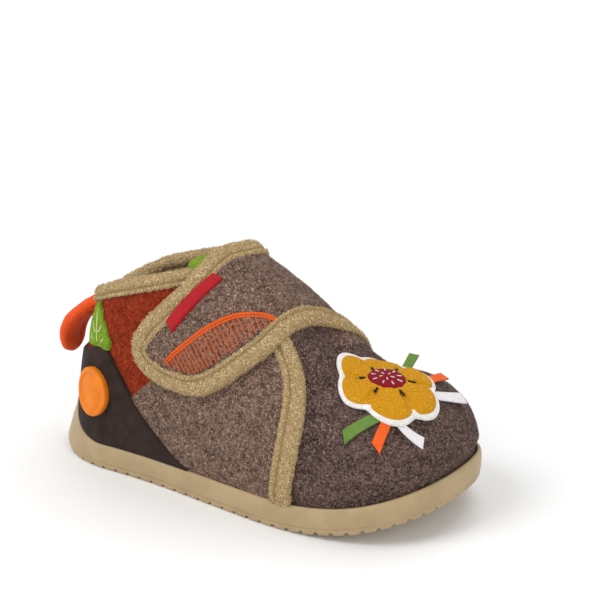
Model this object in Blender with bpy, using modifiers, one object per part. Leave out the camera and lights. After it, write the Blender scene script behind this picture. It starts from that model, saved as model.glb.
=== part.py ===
"""A child's felt bootie slipper with a cupped rubber sole and a hook strap over the instep.

Sizes are in millimetres and become metres as each mesh is made.  X runs from heel to
toe, the outer side of the foot is at -Y, the inner side at +Y and Z is up.  The shoe
stands on its sole on Z = 0.
"""
import bpy
import bmesh
import numpy as np

MM = 0.001
GAP = 0.3

# Outsole
SOLE_LENGTH = 155.0
HEEL_CENTRE = 27.0
TOE_CENTRE = 122.0
HEEL_ARC = 42.0
TOE_ARC = 52.0
TOE_SPRING = 11.8
TOE_SPRING_START = 98.0
HEEL_SPRING = 1.5
HEEL_SPRING_LENGTH = 14.0
WALL_HEIGHT = 9.8
HEEL_RISE = 14.0
HEEL_RISE_START = 24.0
HEEL_FLARE = 6.0
CUP_FLOOR = 4.5
CUP_WALL = 1.8
LUG_COUNT = 70
LUG_GROOVE = 1.6
LUG_DEPTH = 1.3
LUG_REACH = 8.0

# Upper and the soft parts inside it
FELT = 2.8
SWELL_HEIGHT = 4.8
BINDING_WIDTH = 5.7
INSOLE_THICK = 3.0
INSOLE_MARGIN = 3.6
TONGUE_THICK = 2.2
TONGUE_HALF_GIRTH = 13.0
TONGUE_ROOM = 1.4
TONGUE_BEND = 71.0

# Overlays on the upper
STRAP_THICK = 2.8
STRAP_SEAT = 0.7
STRAP_ROOT_THICK = 0.5
STRAP_ROOT_SEAT = 0.8
STRAP_THIN = (-9.0, 14.0)
STRAP_BINDING = 7.3
BINDING_SEAT = 0.65
BINDING_THICK = 3.8
COUNTER_THICK = 1.4
LEAF_THICK = 1.1
DISC_RADIUS = 9.0
DISC_BREADTH = 0.82
DISC_RING = 1.9
DISC_THICK = 1.5
DISC_RING_RAISE = 0.8
LABEL_THICK = 0.9
PATCH_SEAT = 0.5
PATCH_THICK = 2.0
RIBBON_THICK = 0.8

SIDE = TOE_CENTRE - HEEL_CENTRE
HALF_LOOP = HEEL_ARC + SIDE + TOE_ARC
LOOP = 2.0 * HALF_LOOP

# Plan of the outsole: place round the loop from the heel back by the outer side, radius
OUTLINE = np.array([
    (0.0, 30.4), (14.0, 30.1), (21.0, 29.4), (27.0, 28.3), (34.0, 27.3), (42.0, 27.0),
    (65.0, 28.2), (90.0, 31.5), (115.0, 34.4),
    (128.0, 34.6), (142.0, 33.2), (158.0, 32.2), (173.0, 32.0), (189.0, 33.0),
    (208.0, 36.6), (217.0, 37.9), (226.0, 38.0), (240.0, 36.0), (256.0, 32.8),
    (276.0, 29.2), (299.0, 27.0), (322.0, 26.2), (338.0, 26.4), (350.0, 27.8), (357.0, 29.1),
    (364.0, 30.0)])

# Upper: place along one side from the heel back, crest height, top edge height, fullness,
# way that the felt swells out over the sole's rim
SECTIONS = np.array([
    (0.0, 86.0, 60.0, 1.6, 0.0), (21.0, 90.0, 64.2, 1.72, 0.0), (42.0, 93.5, 70.0, 2.15, 0.2),
    (55.0, 95.0, 74.2, 2.3, 0.4), (65.0, 93.0, 77.2, 2.35, 0.6), (73.0, 89.5, 79.2, 2.35, 0.7),
    (81.0, 84.6, 78.8, 2.35, 0.8), (90.0, 79.6, 76.2, 2.35, 0.8), (100.0, 74.0, 73.2, 2.35, 0.8),
    (106.0, 70.0, 72.0, 2.36, 0.8), (112.0, 64.8, 70.0, 2.38, 0.9), (120.0, 57.6, 60.0, 2.45, 1.1),
    (127.0, 51.8, 55.0, 2.5, 1.3), (132.0, 48.9, 55.0, 2.52, 1.5), (135.0, 47.9, 55.0, 2.54, 1.6),
    (137.0, 47.7, 55.0, 2.55, 1.6)])

# Side of the sole from the tread edge to the cup floor: inset, height, share of the wall
SOLE_SIDE = np.array([
    (1.4, 0.0, 0.0), (0.5, 0.9, 0.0), (0.3, 2.4, 0.0), (0.05, 2.8, 0.0), (0.0, 0.8, 0.5),
    (0.25, -1.2, 1.0), (0.75, -0.15, 1.0), (1.4, 0.0, 1.0), (CUP_WALL, -0.5, 1.0)])

# Bound edge of the strap from the inner side of the foot over the crest, round the
# strap end and back: x, girth from the crest (outer side positive), thickness share
STRAP_EDGE = np.array([
    (104.2, -62.0, 0.50), (105.8, -42.0, 0.50), (106.8, -28.0, 0.50), (106.4, -15.0, 0.50),
    (104.0, -5.5, 0.56), (101.4, 1.0, 0.70), (98.8, 7.5, 0.88), (96.1, 16.5, 1.0),
    (93.2, 25.5, 1.0), (87.5, 35.5, 1.0), (80.5, 45.0, 1.0), (71.5, 54.5, 1.0),
    (62.5, 60.3, 1.0), (52.5, 63.6, 1.0), (44.8, 62.0, 1.0), (40.2, 57.2, 1.0),
    (39.8, 51.6, 1.0), (43.4, 45.0, 1.0), (50.0, 36.5, 1.0), (57.0, 26.2, 1.0),
    (60.6, 18.0, 1.0), (63.6, 9.0, 0.90), (66.2, 2.0, 0.74), (66.9, -4.0, 0.60),
    (65.4, -10.0, 0.54), (62.6, -15.6, 0.50)])

# Rows of the strap felt: share of its length, path share at its front, path share at its rear
STRAP_ROWS = np.array([
    (0.0, 0.07, 1.0), (0.20, 0.175, 0.985), (0.32, 0.253, 0.928), (0.66, 0.45, 0.78), (1.0, 0.625, 0.635)])
STRAP_ROOT_REAR = (-40.0, 66.0)

# Tongue along its length: x, rise of the part behind the bend, half girth share
TONGUE = np.array([
    (50.5, -1.4, 0.30), (52.5, -0.4, 0.68), (56.0, 0.7, 0.92), (62.0, 1.4, 1.0),
    (67.0, 1.0, 1.0), (71.0, 0.0, 1.0), (95.0, 0.0, 0.95)])

# Top edge of the heel counter: place from the heel back, height
COUNTER_TOP = np.array([
    (0.0, 40.5), (20.0, 41.2), (29.0, 43.0), (34.5, 45.8), (39.0, 46.4), (42.8, 44.4),
    (47.0, 38.8), (52.0, 32.2), (63.0, 21.2), (74.0, 13.0), (79.0, 9.8)])

# Bound front edge of the outer quarter: x, girth from the crest
QUARTER_EDGE = np.array([
    (99.8, 23.8), (102.2, 25.6), (104.2, 28.8), (105.6, 35.0), (105.4, 45.0), (104.4, 55.0),
    (103.7, 61.2)])

# Heel leaf: height, middle place, half width
LEAF = np.array([
    (47.4, 35.2, 7.8), (50.4, 34.5, 7.6), (53.5, 33.7, 6.1), (57.0, 33.4, 4.0),
    (59.6, 33.3, 2.1), (61.2, 33.3, 0.6)])

# Pull loop behind the heel: distance down its length, way out, height, half width, half thickness
LOOP_TAB = np.array([
    (0.0, 10.1, 54.9, 3.6, 1.5), (5.0, 5.0, 52.6, 5.4, 2.5), (10.0, 0.8, 49.5, 6.6, 3.0),
    (16.0, -3.6, 45.0, 7.0, 3.2), (22.0, -6.2, 39.4, 6.8, 3.1), (27.0, -6.6, 34.4, 5.2, 2.6),
    (30.0, -6.2, 31.4, 2.6, 1.5)])

# Toe patch with round petals, laid out in the plan
PATCH_MIDDLE = (127.6, -5.2)
PATCH_LENGTH = 34.0
PATCH_BREADTH = 29.0
PATCH_PETALS = 6
PETAL_DEPTH = 0.075

# Ribbon ends that show past the patch: name, x and y of the root, x and y of the tip, rise of
# the tip, width in the plan
RIBBONS = (
    ("ribbon_green_outer", 129.8, -22.1, 123.9, -26.6, 0.0, 2.8),
    ("ribbon_orange_outer", 134.6, -20.9, 134.4, -24.7, 0.0, 3.2),
    ("ribbon_white_outer", 141.7, -16.7, 145.6, -14.6, 0.2, 2.0),
    ("ribbon_green_inner", 128.2, 10.2, 126.4, 16.8, 4.0, 3.2),
    ("ribbon_orange_inner", 137.4, 9.6, 138.5, 15.0, 1.2, 3.2),
    ("ribbon_white_inner", 143.4, 4.0, 147.0, 11.0, 1.4, 3.2))


def curve(rows, column, x):
    """Smooth curve through one column of a table, by its first column."""
    xs = rows[:, 0]
    ys = rows[:, column]
    slope = np.gradient(ys, xs)
    x = np.clip(x, xs[0], xs[-1])
    i = np.clip(np.searchsorted(xs, x, side="right") - 1, 0, len(xs) - 2)
    h = xs[i + 1] - xs[i]
    t = (x - xs[i]) / h
    a = (1.0 + 2.0 * t) * (1.0 - t) ** 2
    b = t * (1.0 - t) ** 2 * h
    c = t * t * (3.0 - 2.0 * t)
    d = t * t * (t - 1.0) * h
    return a * ys[i] + b * slope[i] + c * ys[i + 1] + d * slope[i + 1]


def ease(low, high, x):
    """Smooth step from 0 at low to 1 at high."""
    t = np.clip((x - low) / (high - low), 0.0, 1.0)
    return t * t * (3.0 - 2.0 * t)


def fold(q):
    """Place round the loop as a signed distance from the heel back, outer side positive."""
    return (np.asarray(q, float) + HALF_LOOP) % LOOP - HALF_LOOP


def axis(q):
    """Spine point and outward direction of the upright half plane at place q."""
    signed = fold(q)
    a = np.abs(signed)
    x = HEEL_CENTRE + np.clip(a - HEEL_ARC, 0.0, SIDE)
    quarter = 0.5 * np.pi
    back = quarter * (1.0 - np.clip(a / HEEL_ARC, 0.0, 1.0))
    front = quarter * np.clip((a - HEEL_ARC - SIDE) / TOE_ARC, 0.0, 1.0)
    turn = front - back
    return x, np.sin(turn), np.where(signed >= 0.0, -1.0, 1.0) * np.cos(turn)


def outline(q):
    """Radius of the outsole plan from the spine."""
    rows = np.vstack([OUTLINE - (LOOP, 0.0), OUTLINE, OUTLINE + (LOOP, 0.0)])
    return curve(rows, 1, np.mod(q, LOOP))


def under(x):
    """Height of the tread face: flat, lifted at the toe and a little at the heel."""
    toe = np.clip((x - TOE_SPRING_START) / (SOLE_LENGTH - TOE_SPRING_START), 0.0, 1.2)
    heel = np.clip((HEEL_SPRING_LENGTH - x) / HEEL_SPRING_LENGTH, 0.0, 1.0)
    return TOE_SPRING * toe ** 2 + HEEL_SPRING * heel ** 2


def round_heel(q):
    """Share by which the sole wall rises and leans in: 0 along the sides, 1 at the heel back."""
    x0, dx, dy = axis(q)
    x = x0 + dx * outline(q)
    back = HEEL_CENTRE - OUTLINE[0, 1]
    return np.clip((HEEL_RISE_START - x) / (HEEL_RISE_START - back), 0.0, 1.0) ** 2


def wall(q):
    """Height of the sole wall above the tread, rising round the heel."""
    return WALL_HEIGHT + HEEL_RISE * round_heel(q)


def flare(q):
    """Way that the top of the sole wall leans in over its foot, round the heel."""
    return HEEL_FLARE * round_heel(q)


def cup(q):
    """Radius of the inner face of the sole wall."""
    return outline(q) - CUP_WALL - flare(q)


def rim(q):
    """Height of the top of the sole wall."""
    x0, dx, dy = axis(q)
    return under(x0 + dx * outline(q)) + wall(q)


def section(q, column):
    """One column of the upper's table at place q, the toe sharing one crest."""
    return curve(SECTIONS, column, np.minimum(np.abs(fold(q)), HEEL_ARC + SIDE))


def profile(q, steps=110):
    """Outer face of the upper in one half plane from the crest down, with its running girth."""
    q = np.asarray(q, float).reshape(-1, 1)
    tau = np.linspace(0.5 * np.pi, 0.0, steps).reshape(1, -1)
    x0, dx, dy = axis(q)
    radius = cup(q) - GAP
    base = under(x0 + dx * radius) + CUP_FLOOR + GAP
    top = section(q, 1)
    power = 2.0 / section(q, 3)
    z = base + (top - base) * np.sin(tau) ** power
    swell = section(q, 4) * ease(GAP, SWELL_HEIGHT, z - rim(q))
    r = (radius + swell) * np.cos(tau) ** power
    points = np.stack([x0 + dx * r, dy * r, z], -1)
    steps_long = np.linalg.norm(np.diff(points, axis=1), axis=2)
    girth = np.concatenate([np.zeros((len(q), 1)), np.cumsum(steps_long, axis=1)], axis=1)
    return points, girth


def skin(q, s):
    """Point of the upper's outer face at place q, a girth s down from the crest."""
    q, s = np.broadcast_arrays(np.asarray(q, float), np.asarray(s, float))
    points, girth = profile(q.ravel())
    flat = s.ravel()
    out = np.empty((flat.size, 3))
    for k in range(flat.size):
        for c in range(3):
            out[k, c] = np.interp(flat[k], girth[k], points[k, :, c])
    return out.reshape(q.shape + (3,))


def reach(q, z):
    """Girth from the crest at which the upper has height z."""
    q, z = np.broadcast_arrays(np.asarray(q, float), np.asarray(z, float))
    points, girth = profile(q.ravel())
    flat = z.ravel()
    out = np.empty(flat.size)
    for k in range(flat.size):
        out[k] = np.interp(-flat[k], -points[k, :, 2], girth[k])
    return out.reshape(q.shape)


def girth_of(q):
    """Whole girth of the upper from the crest to its lower edge."""
    return profile(q)[1][:, -1].reshape(np.shape(q))


def top_edge(q):
    """Girth from the crest to the collar and throat line."""
    return reach(q, section(q, 2))


def across(s, x):
    """Point of the upper over the instep: girth s from the crest (outer side positive), x."""
    q = HEEL_ARC + np.asarray(x, float) - HEEL_CENTRE
    return skin(np.where(np.asarray(s) >= 0.0, q, -q), np.abs(s))


def plan(x, y):
    """Point on top of the upper above a place of the plan."""
    x = np.asarray(x, float)
    y = np.asarray(y, float)
    ahead = np.maximum(x - TOE_CENTRE, 0.0)
    turn = np.arctan2(ahead, np.abs(y) + 1e-9)
    a = HEEL_ARC + np.minimum(x, TOE_CENTRE) - HEEL_CENTRE + TOE_ARC * turn / (0.5 * np.pi)
    q = np.where(y <= 0.0, a, -a)
    x0, dx, dy = axis(q)
    radius = cup(q) - GAP
    base = under(x0 + dx * radius) + CUP_FLOOR + GAP
    radius = radius + section(q, 4)
    share = np.clip(np.hypot(ahead, y) / radius, 0.0, 0.999)
    power = section(q, 3)
    z = base + (section(q, 1) - base) * (1.0 - share ** power) ** (1.0 / power)
    return np.stack([x, y, z], -1)


def lift(face, a, b, distance, step=0.6):
    """Point of a face moved out along its normal, which is the cross product of its two ways."""
    a, b, distance = np.broadcast_arrays(np.asarray(a, float), np.asarray(b, float),
                                         np.asarray(distance, float))
    way_a = face(a + step, b) - face(a - step, b)
    way_b = face(a, b + step) - face(a, b - step)
    normal = np.cross(way_a, way_b)
    normal /= np.linalg.norm(normal, axis=-1, keepdims=True)
    return face(a, b) + distance[..., None] * normal


def upright(q, s):
    """The upper's face with its girth reversed, so that its normal points out of the shoe."""
    return skin(q, -s)


def place(name, points, faces, colour, roughness, home):
    """One named object with its own material, from points in millimetres."""
    points = np.asarray(points, float).reshape(-1, 3) - (0.5 * SOLE_LENGTH, 0.0, 0.0)
    mesh = bpy.data.meshes.new(name)
    mesh.from_pydata((points * MM).tolist(), [], faces)
    tidy = bmesh.new()
    tidy.from_mesh(mesh)
    bmesh.ops.remove_doubles(tidy, verts=tidy.verts, dist=0.00002)
    bmesh.ops.dissolve_degenerate(tidy, edges=tidy.edges, dist=0.00001)
    bmesh.ops.recalc_face_normals(tidy, faces=tidy.faces)
    tidy.to_mesh(mesh)
    tidy.free()
    material = bpy.data.materials.new(name + "_finish")
    material.use_nodes = True
    shader = material.node_tree.nodes["Principled BSDF"]
    shader.inputs["Base Color"].default_value = (*colour, 1.0)
    shader.inputs["Roughness"].default_value = roughness
    shader.inputs["Metallic"].default_value = 0.0
    mesh.materials.append(material)
    item = bpy.data.objects.new(name, mesh)
    home.objects.link(item)
    return item


def grid_faces(rows, columns, start=0, flip=False, closed=False):
    """Four sided faces over a grid of points, the columns joined round when closed."""
    faces = []
    for i in range(rows - 1):
        for j in range(columns if closed else columns - 1):
            k = (j + 1) % columns
            face = (start + i * columns + j, start + i * columns + k,
                    start + (i + 1) * columns + k, start + (i + 1) * columns + j)
            faces.append(face[::-1] if flip else face)
    return faces


def sheet(name, inner, outer, colour, roughness, home):
    """Solid between two grids of points that share their rows and columns."""
    rows, columns = inner.shape[:2]
    count = rows * columns
    faces = grid_faces(rows, columns) + grid_faces(rows, columns, count, True)
    ring = [j for j in range(columns)]
    ring += [i * columns + columns - 1 for i in range(1, rows)]
    ring += [(rows - 1) * columns + j for j in range(columns - 2, -1, -1)]
    ring += [i * columns for i in range(rows - 2, 0, -1)]
    for k, a in enumerate(ring):
        b = ring[(k + 1) % len(ring)]
        faces.append((b, a, a + count, b + count))
    return place(name, np.concatenate([inner.reshape(-1, 3), outer.reshape(-1, 3)]), faces,
                 colour, roughness, home)


def strip(name, sections, colour, roughness, home):
    """Solid through closed sections of equal count, with a cap at each end."""
    rows, columns = sections.shape[:2]
    faces = grid_faces(rows, columns, closed=True)
    faces.append(tuple(range(columns)))
    faces.append(tuple((rows - 1) * columns + j for j in range(columns))[::-1])
    return place(name, sections, faces, colour, roughness, home)


def stations(step_heel=6.0, step_side=5.0, step_toe=6.5):
    """Places round the loop, closer where the form bends."""
    heel = np.linspace(0.0, HEEL_ARC, int(HEEL_ARC / step_heel) + 1)
    side = np.linspace(HEEL_ARC, HEEL_ARC + SIDE, int(SIDE / step_side) + 1)[1:]
    toe = np.linspace(HEEL_ARC + SIDE, HALF_LOOP, int(TOE_ARC / step_toe) + 1)[1:]
    half = np.concatenate([heel, side, toe])
    return np.concatenate([half, -half[-2:0:-1]])


def build_outsole(home, cutters):
    """Cup sole: tread, stepped side, rim, inner wall and floor, with a ring of lugs."""
    q = stations()
    x0, dx, dy = axis(q)
    radius = outline(q)

    def ring(r, z_extra):
        x = x0 + dx * r
        return np.stack([x, dy * r, under(x) + z_extra], -1)

    rings = [ring(0.0 * radius, 0.0 * radius), ring(0.55 * radius, 0.0 * radius)]
    for inset, height, share in SOLE_SIDE:
        x_edge = x0 + dx * radius
        r = radius - inset - share * flare(q)
        lifted = under(x_edge) - under(x0 + dx * r) if share > 0.0 else 0.0
        rings.append(ring(r, height + share * wall(q) + lifted))
    rings.append(ring(cup(q), CUP_FLOOR + 0.0 * radius))
    rings.append(ring(0.5 * radius, CUP_FLOOR + 0.0 * radius))
    rings.append(ring(0.0 * radius, CUP_FLOOR + 0.0 * radius))
    points = np.array(rings)
    faces = grid_faces(points.shape[0], points.shape[1], closed=True)
    sole = place("outsole", points, faces, (0.42, 0.33, 0.19), 0.62, home)

    middle = (np.arange(LUG_COUNT) + 0.5) * LOOP / LUG_COUNT
    corners = []
    blocks = []
    for k, at in enumerate(middle):
        for height in (-4.0, LUG_DEPTH):
            for along, reached in ((-0.5, -LUG_REACH), (0.5, -LUG_REACH), (0.5, 2.5), (-0.5, 2.5)):
                c0, cx, cy = axis(at)
                r = outline(at) + reached
                x = c0 + cx * r - cy * along * LUG_GROOVE
                y = cy * r + cx * along * LUG_GROOVE
                corners.append((x, y, under(x) + height))
        n = 8 * k
        blocks += [(n, n + 3, n + 2, n + 1), (n + 4, n + 5, n + 6, n + 7)]
        blocks += [(n + j, n + (j + 1) % 4, n + 4 + (j + 1) % 4, n + 4 + j) for j in range(4)]
    grooves = place("lug_grooves", corners, blocks, (0.5, 0.5, 0.5), 0.5, cutters)
    grooves.hide_render = True
    grooves.display_type = "WIRE"
    cut = sole.modifiers.new("lugs", "BOOLEAN")
    cut.operation = "DIFFERENCE"
    cut.solver = "EXACT"
    cut.object = grooves


def build_insole(home):
    """Footbed lying on the cup floor inside the upper."""
    q = stations(8.0, 8.0, 8.0)
    x0, dx, dy = axis(q)
    radius = cup(q) - INSOLE_MARGIN
    rings = []
    for share, height in ((0.0, GAP), (0.55, GAP), (1.0, GAP), (1.0, GAP + INSOLE_THICK - 0.6),
                          (0.97, GAP + INSOLE_THICK), (0.55, GAP + INSOLE_THICK), (0.0, GAP + INSOLE_THICK)):
        x = x0 + dx * radius * share
        rings.append(np.stack([x, dy * radius * share, under(x) + CUP_FLOOR + height], -1))
    points = np.array(rings)
    faces = grid_faces(points.shape[0], points.shape[1], closed=True)
    place("insole", points, faces, (0.30, 0.24, 0.18), 0.9, home)


def build_upper(home):
    """One hollow felt wall from the cup floor to the collar, throat and toe, thickened inwards."""
    q = stations()
    start = top_edge(q)
    bound = np.clip((88.0 - np.abs(fold(q))) / 10.0, 0.0, 1.0)
    start = start + np.where(start > 0.05, (BINDING_WIDTH + GAP) * bound, 0.0)
    full = reach(q, rim(q) + SWELL_HEIGHT)
    rows = [skin(q, start + (full - start) * share) for share in np.linspace(0.0, 1.0, 9)]
    rows.append(skin(q, reach(q, rim(q) + 0.5 * SWELL_HEIGHT)))
    rows.append(skin(q, reach(q, rim(q) + GAP)))
    rows.append(skin(q, girth_of(q)))
    points = np.array(rows)
    faces = grid_faces(points.shape[0], points.shape[1], closed=True)
    upper = place("upper", points, faces, (0.16, 0.125, 0.11), 0.95, home)
    shell = upper.modifiers.new("felt", "SOLIDIFY")
    shell.thickness = FELT * MM
    shell.offset = -1.0
    shell.use_even_offset = True
    shell.use_rim = True


def build_tongue(home):
    """Felt tongue lying inside the throat, its tip standing out behind the strap."""
    x = np.linspace(TONGUE[0, 0], TONGUE[-1, 0], 15).reshape(-1, 1)
    s = np.linspace(-1.0, 1.0, 9).reshape(1, -1) * TONGUE_HALF_GIRTH * curve(TONGUE, 2, x)
    held = np.broadcast_to(np.maximum(x, TONGUE_BEND), s.shape)
    behind = np.broadcast_to(np.minimum(x - TONGUE_BEND, 0.0), s.shape)
    rise = np.broadcast_to(curve(TONGUE, 1, x), s.shape)
    move = np.stack([behind, 0.0 * behind, rise], -1)
    depth = FELT + TONGUE_ROOM
    sheet("tongue", lift(across, s, held, -depth - TONGUE_THICK) + move,
          lift(across, s, held, -depth) + move, (0.15, 0.28, 0.03), 0.9, home)


def strap_path(t):
    """Outer edge of the strap binding: girth, x and thickness share at path share t."""
    steps = np.hypot(np.diff(STRAP_EDGE[:, 0]), np.diff(STRAP_EDGE[:, 1]))
    run = np.concatenate([[0.0], np.cumsum(steps)]) / steps.sum()
    rows = np.column_stack([run, STRAP_EDGE])
    return curve(rows, 2, t), curve(rows, 1, t), curve(rows, 3, t)


def strap_inward(t, distance):
    """Girth and x of the place a distance in from the strap's edge, across the face."""
    s, x, share = strap_path(t)
    step = 0.5
    way_s = (across(s + step, x) - across(s - step, x)) / (2.0 * step)
    way_x = (across(s, x + step) - across(s, x - step)) / (2.0 * step)
    normal = np.cross(way_s, way_x)
    normal /= np.linalg.norm(normal, axis=-1, keepdims=True)
    ahead_s, ahead_x, ahead_share = strap_path(t + 0.004)
    behind_s, behind_x, behind_share = strap_path(t - 0.004)
    run = across(ahead_s, ahead_x) - across(behind_s, behind_x)
    run /= np.linalg.norm(run, axis=-1, keepdims=True)
    inward = np.cross(run, normal)
    ss = np.sum(way_s * way_s, -1)
    xx = np.sum(way_x * way_x, -1)
    sx = np.sum(way_s * way_x, -1)
    in_s = np.sum(way_s * inward, -1)
    in_x = np.sum(way_x * inward, -1)
    det = ss * xx - sx * sx
    return (s + distance * (in_s * xx - in_x * sx) / det,
            x + distance * (in_x * ss - in_s * sx) / det)


def strap_rows():
    """Share of each felt row along the strap and the path shares of its two ends."""
    share = np.linspace(0.0, 1.0, 21)
    front = np.interp(share, STRAP_ROWS[:, 0], STRAP_ROWS[:, 1])
    rear = np.interp(share, STRAP_ROWS[:, 0], STRAP_ROWS[:, 2])
    return share, front, rear


def build_strap(home):
    """Felt strap inside its binding, thinning into the quarter on the inner side."""
    rows, front_t, rear_t = strap_rows()
    front_s, front_x = strap_inward(front_t, STRAP_BINDING + GAP)
    rear_s, rear_x = strap_inward(rear_t, STRAP_BINDING + GAP)
    rise = np.clip(rows / STRAP_ROWS[1, 0], 0.0, 1.0)
    rear_s = STRAP_ROOT_REAR[0] + (rear_s - STRAP_ROOT_REAR[0]) * rise
    rear_x = STRAP_ROOT_REAR[1] + (rear_x - STRAP_ROOT_REAR[1]) * rise
    share = np.linspace(0.0, 1.0, 7).reshape(1, -1)
    s = rear_s.reshape(-1, 1) * (1.0 - share) + front_s.reshape(-1, 1) * share
    x = rear_x.reshape(-1, 1) * (1.0 - share) + front_x.reshape(-1, 1) * share
    grown = np.clip((s - STRAP_THIN[0]) / (STRAP_THIN[1] - STRAP_THIN[0]), 0.0, 1.0)
    seat = STRAP_ROOT_SEAT + (STRAP_SEAT - STRAP_ROOT_SEAT) * grown
    thick = STRAP_ROOT_THICK + (STRAP_THICK - STRAP_ROOT_THICK) * grown
    sheet("strap", lift(across, s, x, seat), lift(across, s, x, seat + thick),
          (0.22, 0.16, 0.13), 0.95, home)


def build_strap_binding(home):
    """Towelling tape folded round the strap edge and down the inner quarter to the sole."""
    rows, front_t, rear_t = strap_rows()
    lead = np.linspace(0.006, front_t[0], 5)[:-1]
    t = np.concatenate([lead, front_t, rear_t[::-1]])
    section = ((0.4, 0.0), (0.0, 0.35), (0.9, 0.85), (3.4, 1.0), (6.3, 0.87), (STRAP_BINDING, 0.4),
               (6.9, 0.0))
    share = strap_path(t)[2]
    loops = []
    for inset, height in section:
        s, x = strap_inward(t, inset)
        loops.append(lift(across, s, x, BINDING_SEAT + BINDING_THICK * height * share))
    strip("strap_binding", np.array(loops).transpose(1, 0, 2), (0.45, 0.34, 0.17), 0.95, home)


def build_collar_binding(home):
    """Towelling tape capping the collar from the strap on one side to the other."""
    q = np.linspace(-77.0, 71.5, 34)
    section = ((0.2, -2.6), (0.0, -1.4), (0.2, -0.2), (1.6, 0.8), (4.2, 1.0), (5.7, 0.4),
               (5.7, -3.2), (4.2, -3.8), (1.6, -3.6))
    start = top_edge(q)
    rows = []
    for down, out in section:
        rows.append(lift(upright, q, -(start + down), out))
    strip("collar_binding", np.array(rows).transpose(1, 0, 2), (0.45, 0.34, 0.17), 0.95, home)


def build_quarter_binding(home):
    """Towelling tape on the front edge of the outer quarter, from the sole to the strap."""
    run = np.linspace(0.0, 1.0, 14)
    rows = np.column_stack([np.linspace(0.0, 1.0, len(QUARTER_EDGE)), QUARTER_EDGE])
    x = curve(rows, 1, run)
    s = curve(rows, 2, run)
    section = ((4.0, 0.1), (4.0, 1.1), (2.3, 2.0), (-2.3, 2.0), (-4.0, 1.1), (-4.0, 0.1))
    points = []
    for along, height in section:
        ahead = across(np.gradient(s) * 0.01 + s, np.gradient(x) * 0.01 + x) - across(s, x)
        ahead /= np.linalg.norm(ahead, axis=-1, keepdims=True)
        here = lift(across, s, x, GAP + 0.0 * s)
        normal = lift(across, s, x, 1.0 + GAP + 0.0 * s) - here
        beside = np.cross(normal, ahead)
        way_x = across(s, x + 0.5) - across(s, x - 0.5)
        way_s = across(s + 0.5, x) - across(s - 0.5, x)
        move_x = along * np.sum(beside * way_x, -1)
        move_s = along * np.sum(beside * way_s, -1)
        foot_q = HEEL_ARC + x[-1] + move_x[-1] - HEEL_CENTRE
        foot = reach(foot_q, rim(foot_q) + 3.0 * GAP)
        sloped = s + move_s + run ** 3 * (foot - s[-1] - move_s[-1])
        points.append(lift(across, sloped, x + move_x, GAP + height))
    strip("quarter_binding", np.array(points).transpose(1, 0, 2), (0.45, 0.34, 0.17), 0.95, home)


def build_counter(home):
    """Thin cup wrapped round the heel from the sole rim."""
    q = np.linspace(-COUNTER_TOP[-1, 0], COUNTER_TOP[-1, 0], 35)
    low = rim(q) + 2.0 * GAP
    high = np.maximum(curve(COUNTER_TOP, 1, np.abs(q)), low + 0.8)
    share = np.linspace(0.0, 1.0, 5).reshape(-1, 1)
    z = low + (high - low) * share
    s = reach(q + 0.0 * z, z)
    place_q = q + 0.0 * z
    sheet("heel_counter", lift(upright, place_q, -s, GAP), lift(upright, place_q, -s, GAP + COUNTER_THICK),
          (0.047, 0.033, 0.027), 0.8, home)


def build_leaf(home):
    """Leaf shaped tab standing on the counter's top edge at the outer side."""
    z = np.linspace(LEAF[0, 0], LEAF[-1, 0], 9).reshape(-1, 1)
    q = curve(LEAF, 1, z) + curve(LEAF, 2, z) * np.linspace(-1.0, 1.0, 6).reshape(1, -1)
    z = np.broadcast_to(z, q.shape)
    s = reach(q, z)
    sheet("heel_leaf", lift(upright, q, -s, GAP), lift(upright, q, -s, GAP + LEAF_THICK),
          (0.19, 0.30, 0.012), 0.85, home)


def build_disc(home):
    """Round badge with a raised ring, moulded to the counter."""
    turn = np.linspace(0.0, 2.0 * np.pi, 28, endpoint=False)
    base = 2.0 * GAP + COUNTER_THICK
    inner = DISC_RADIUS - DISC_RING
    rings = ((0.0, 0.0), (0.5, 0.0), (1.0, 0.0), (1.0, 0.7), (0.96, 1.0), (inner / DISC_RADIUS, 1.0),
             (inner / DISC_RADIUS - 0.04, 0.62), (0.4, 0.66), (0.0, 0.68))
    rows = []
    for share, height in rings:
        q = 36.4 + DISC_RADIUS * share * np.sin(turn) * DISC_BREADTH
        z = 29.3 + DISC_RADIUS * share * np.cos(turn)
        out = base + (DISC_THICK + DISC_RING_RAISE) * height
        rows.append(lift(upright, q, -reach(q, z), out + 0.0 * q))
    points = np.array(rows)
    faces = grid_faces(points.shape[0], points.shape[1], closed=True)
    place("heel_disc", points, faces, (0.80, 0.27, 0.03), 0.45, home)


def build_loop(home):
    """Padded pull loop hanging behind the heel seam."""
    turn = np.linspace(0.0, 2.0 * np.pi, 14, endpoint=False)
    along = np.linspace(LOOP_TAB[0, 0], LOOP_TAB[-1, 0], 12)
    centre = np.stack([curve(LOOP_TAB, 1, along), 0.0 * along - 1.0, curve(LOOP_TAB, 2, along)], -1)
    run = np.gradient(centre, axis=0)
    run /= np.linalg.norm(run, axis=-1, keepdims=True)
    beside = np.array((0.0, 1.0, 0.0))
    out = np.cross(beside, run)
    half_width = curve(LOOP_TAB, 3, along)[:, None, None]
    half_thick = curve(LOOP_TAB, 4, along)[:, None, None]
    ring = (centre[:, None, :] + half_width * np.sin(turn)[None, :, None] * beside
            + half_thick * np.cos(turn)[None, :, None] * out[:, None, :])
    strip("heel_loop", ring, (0.80, 0.09, 0.02), 0.7, home)


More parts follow.
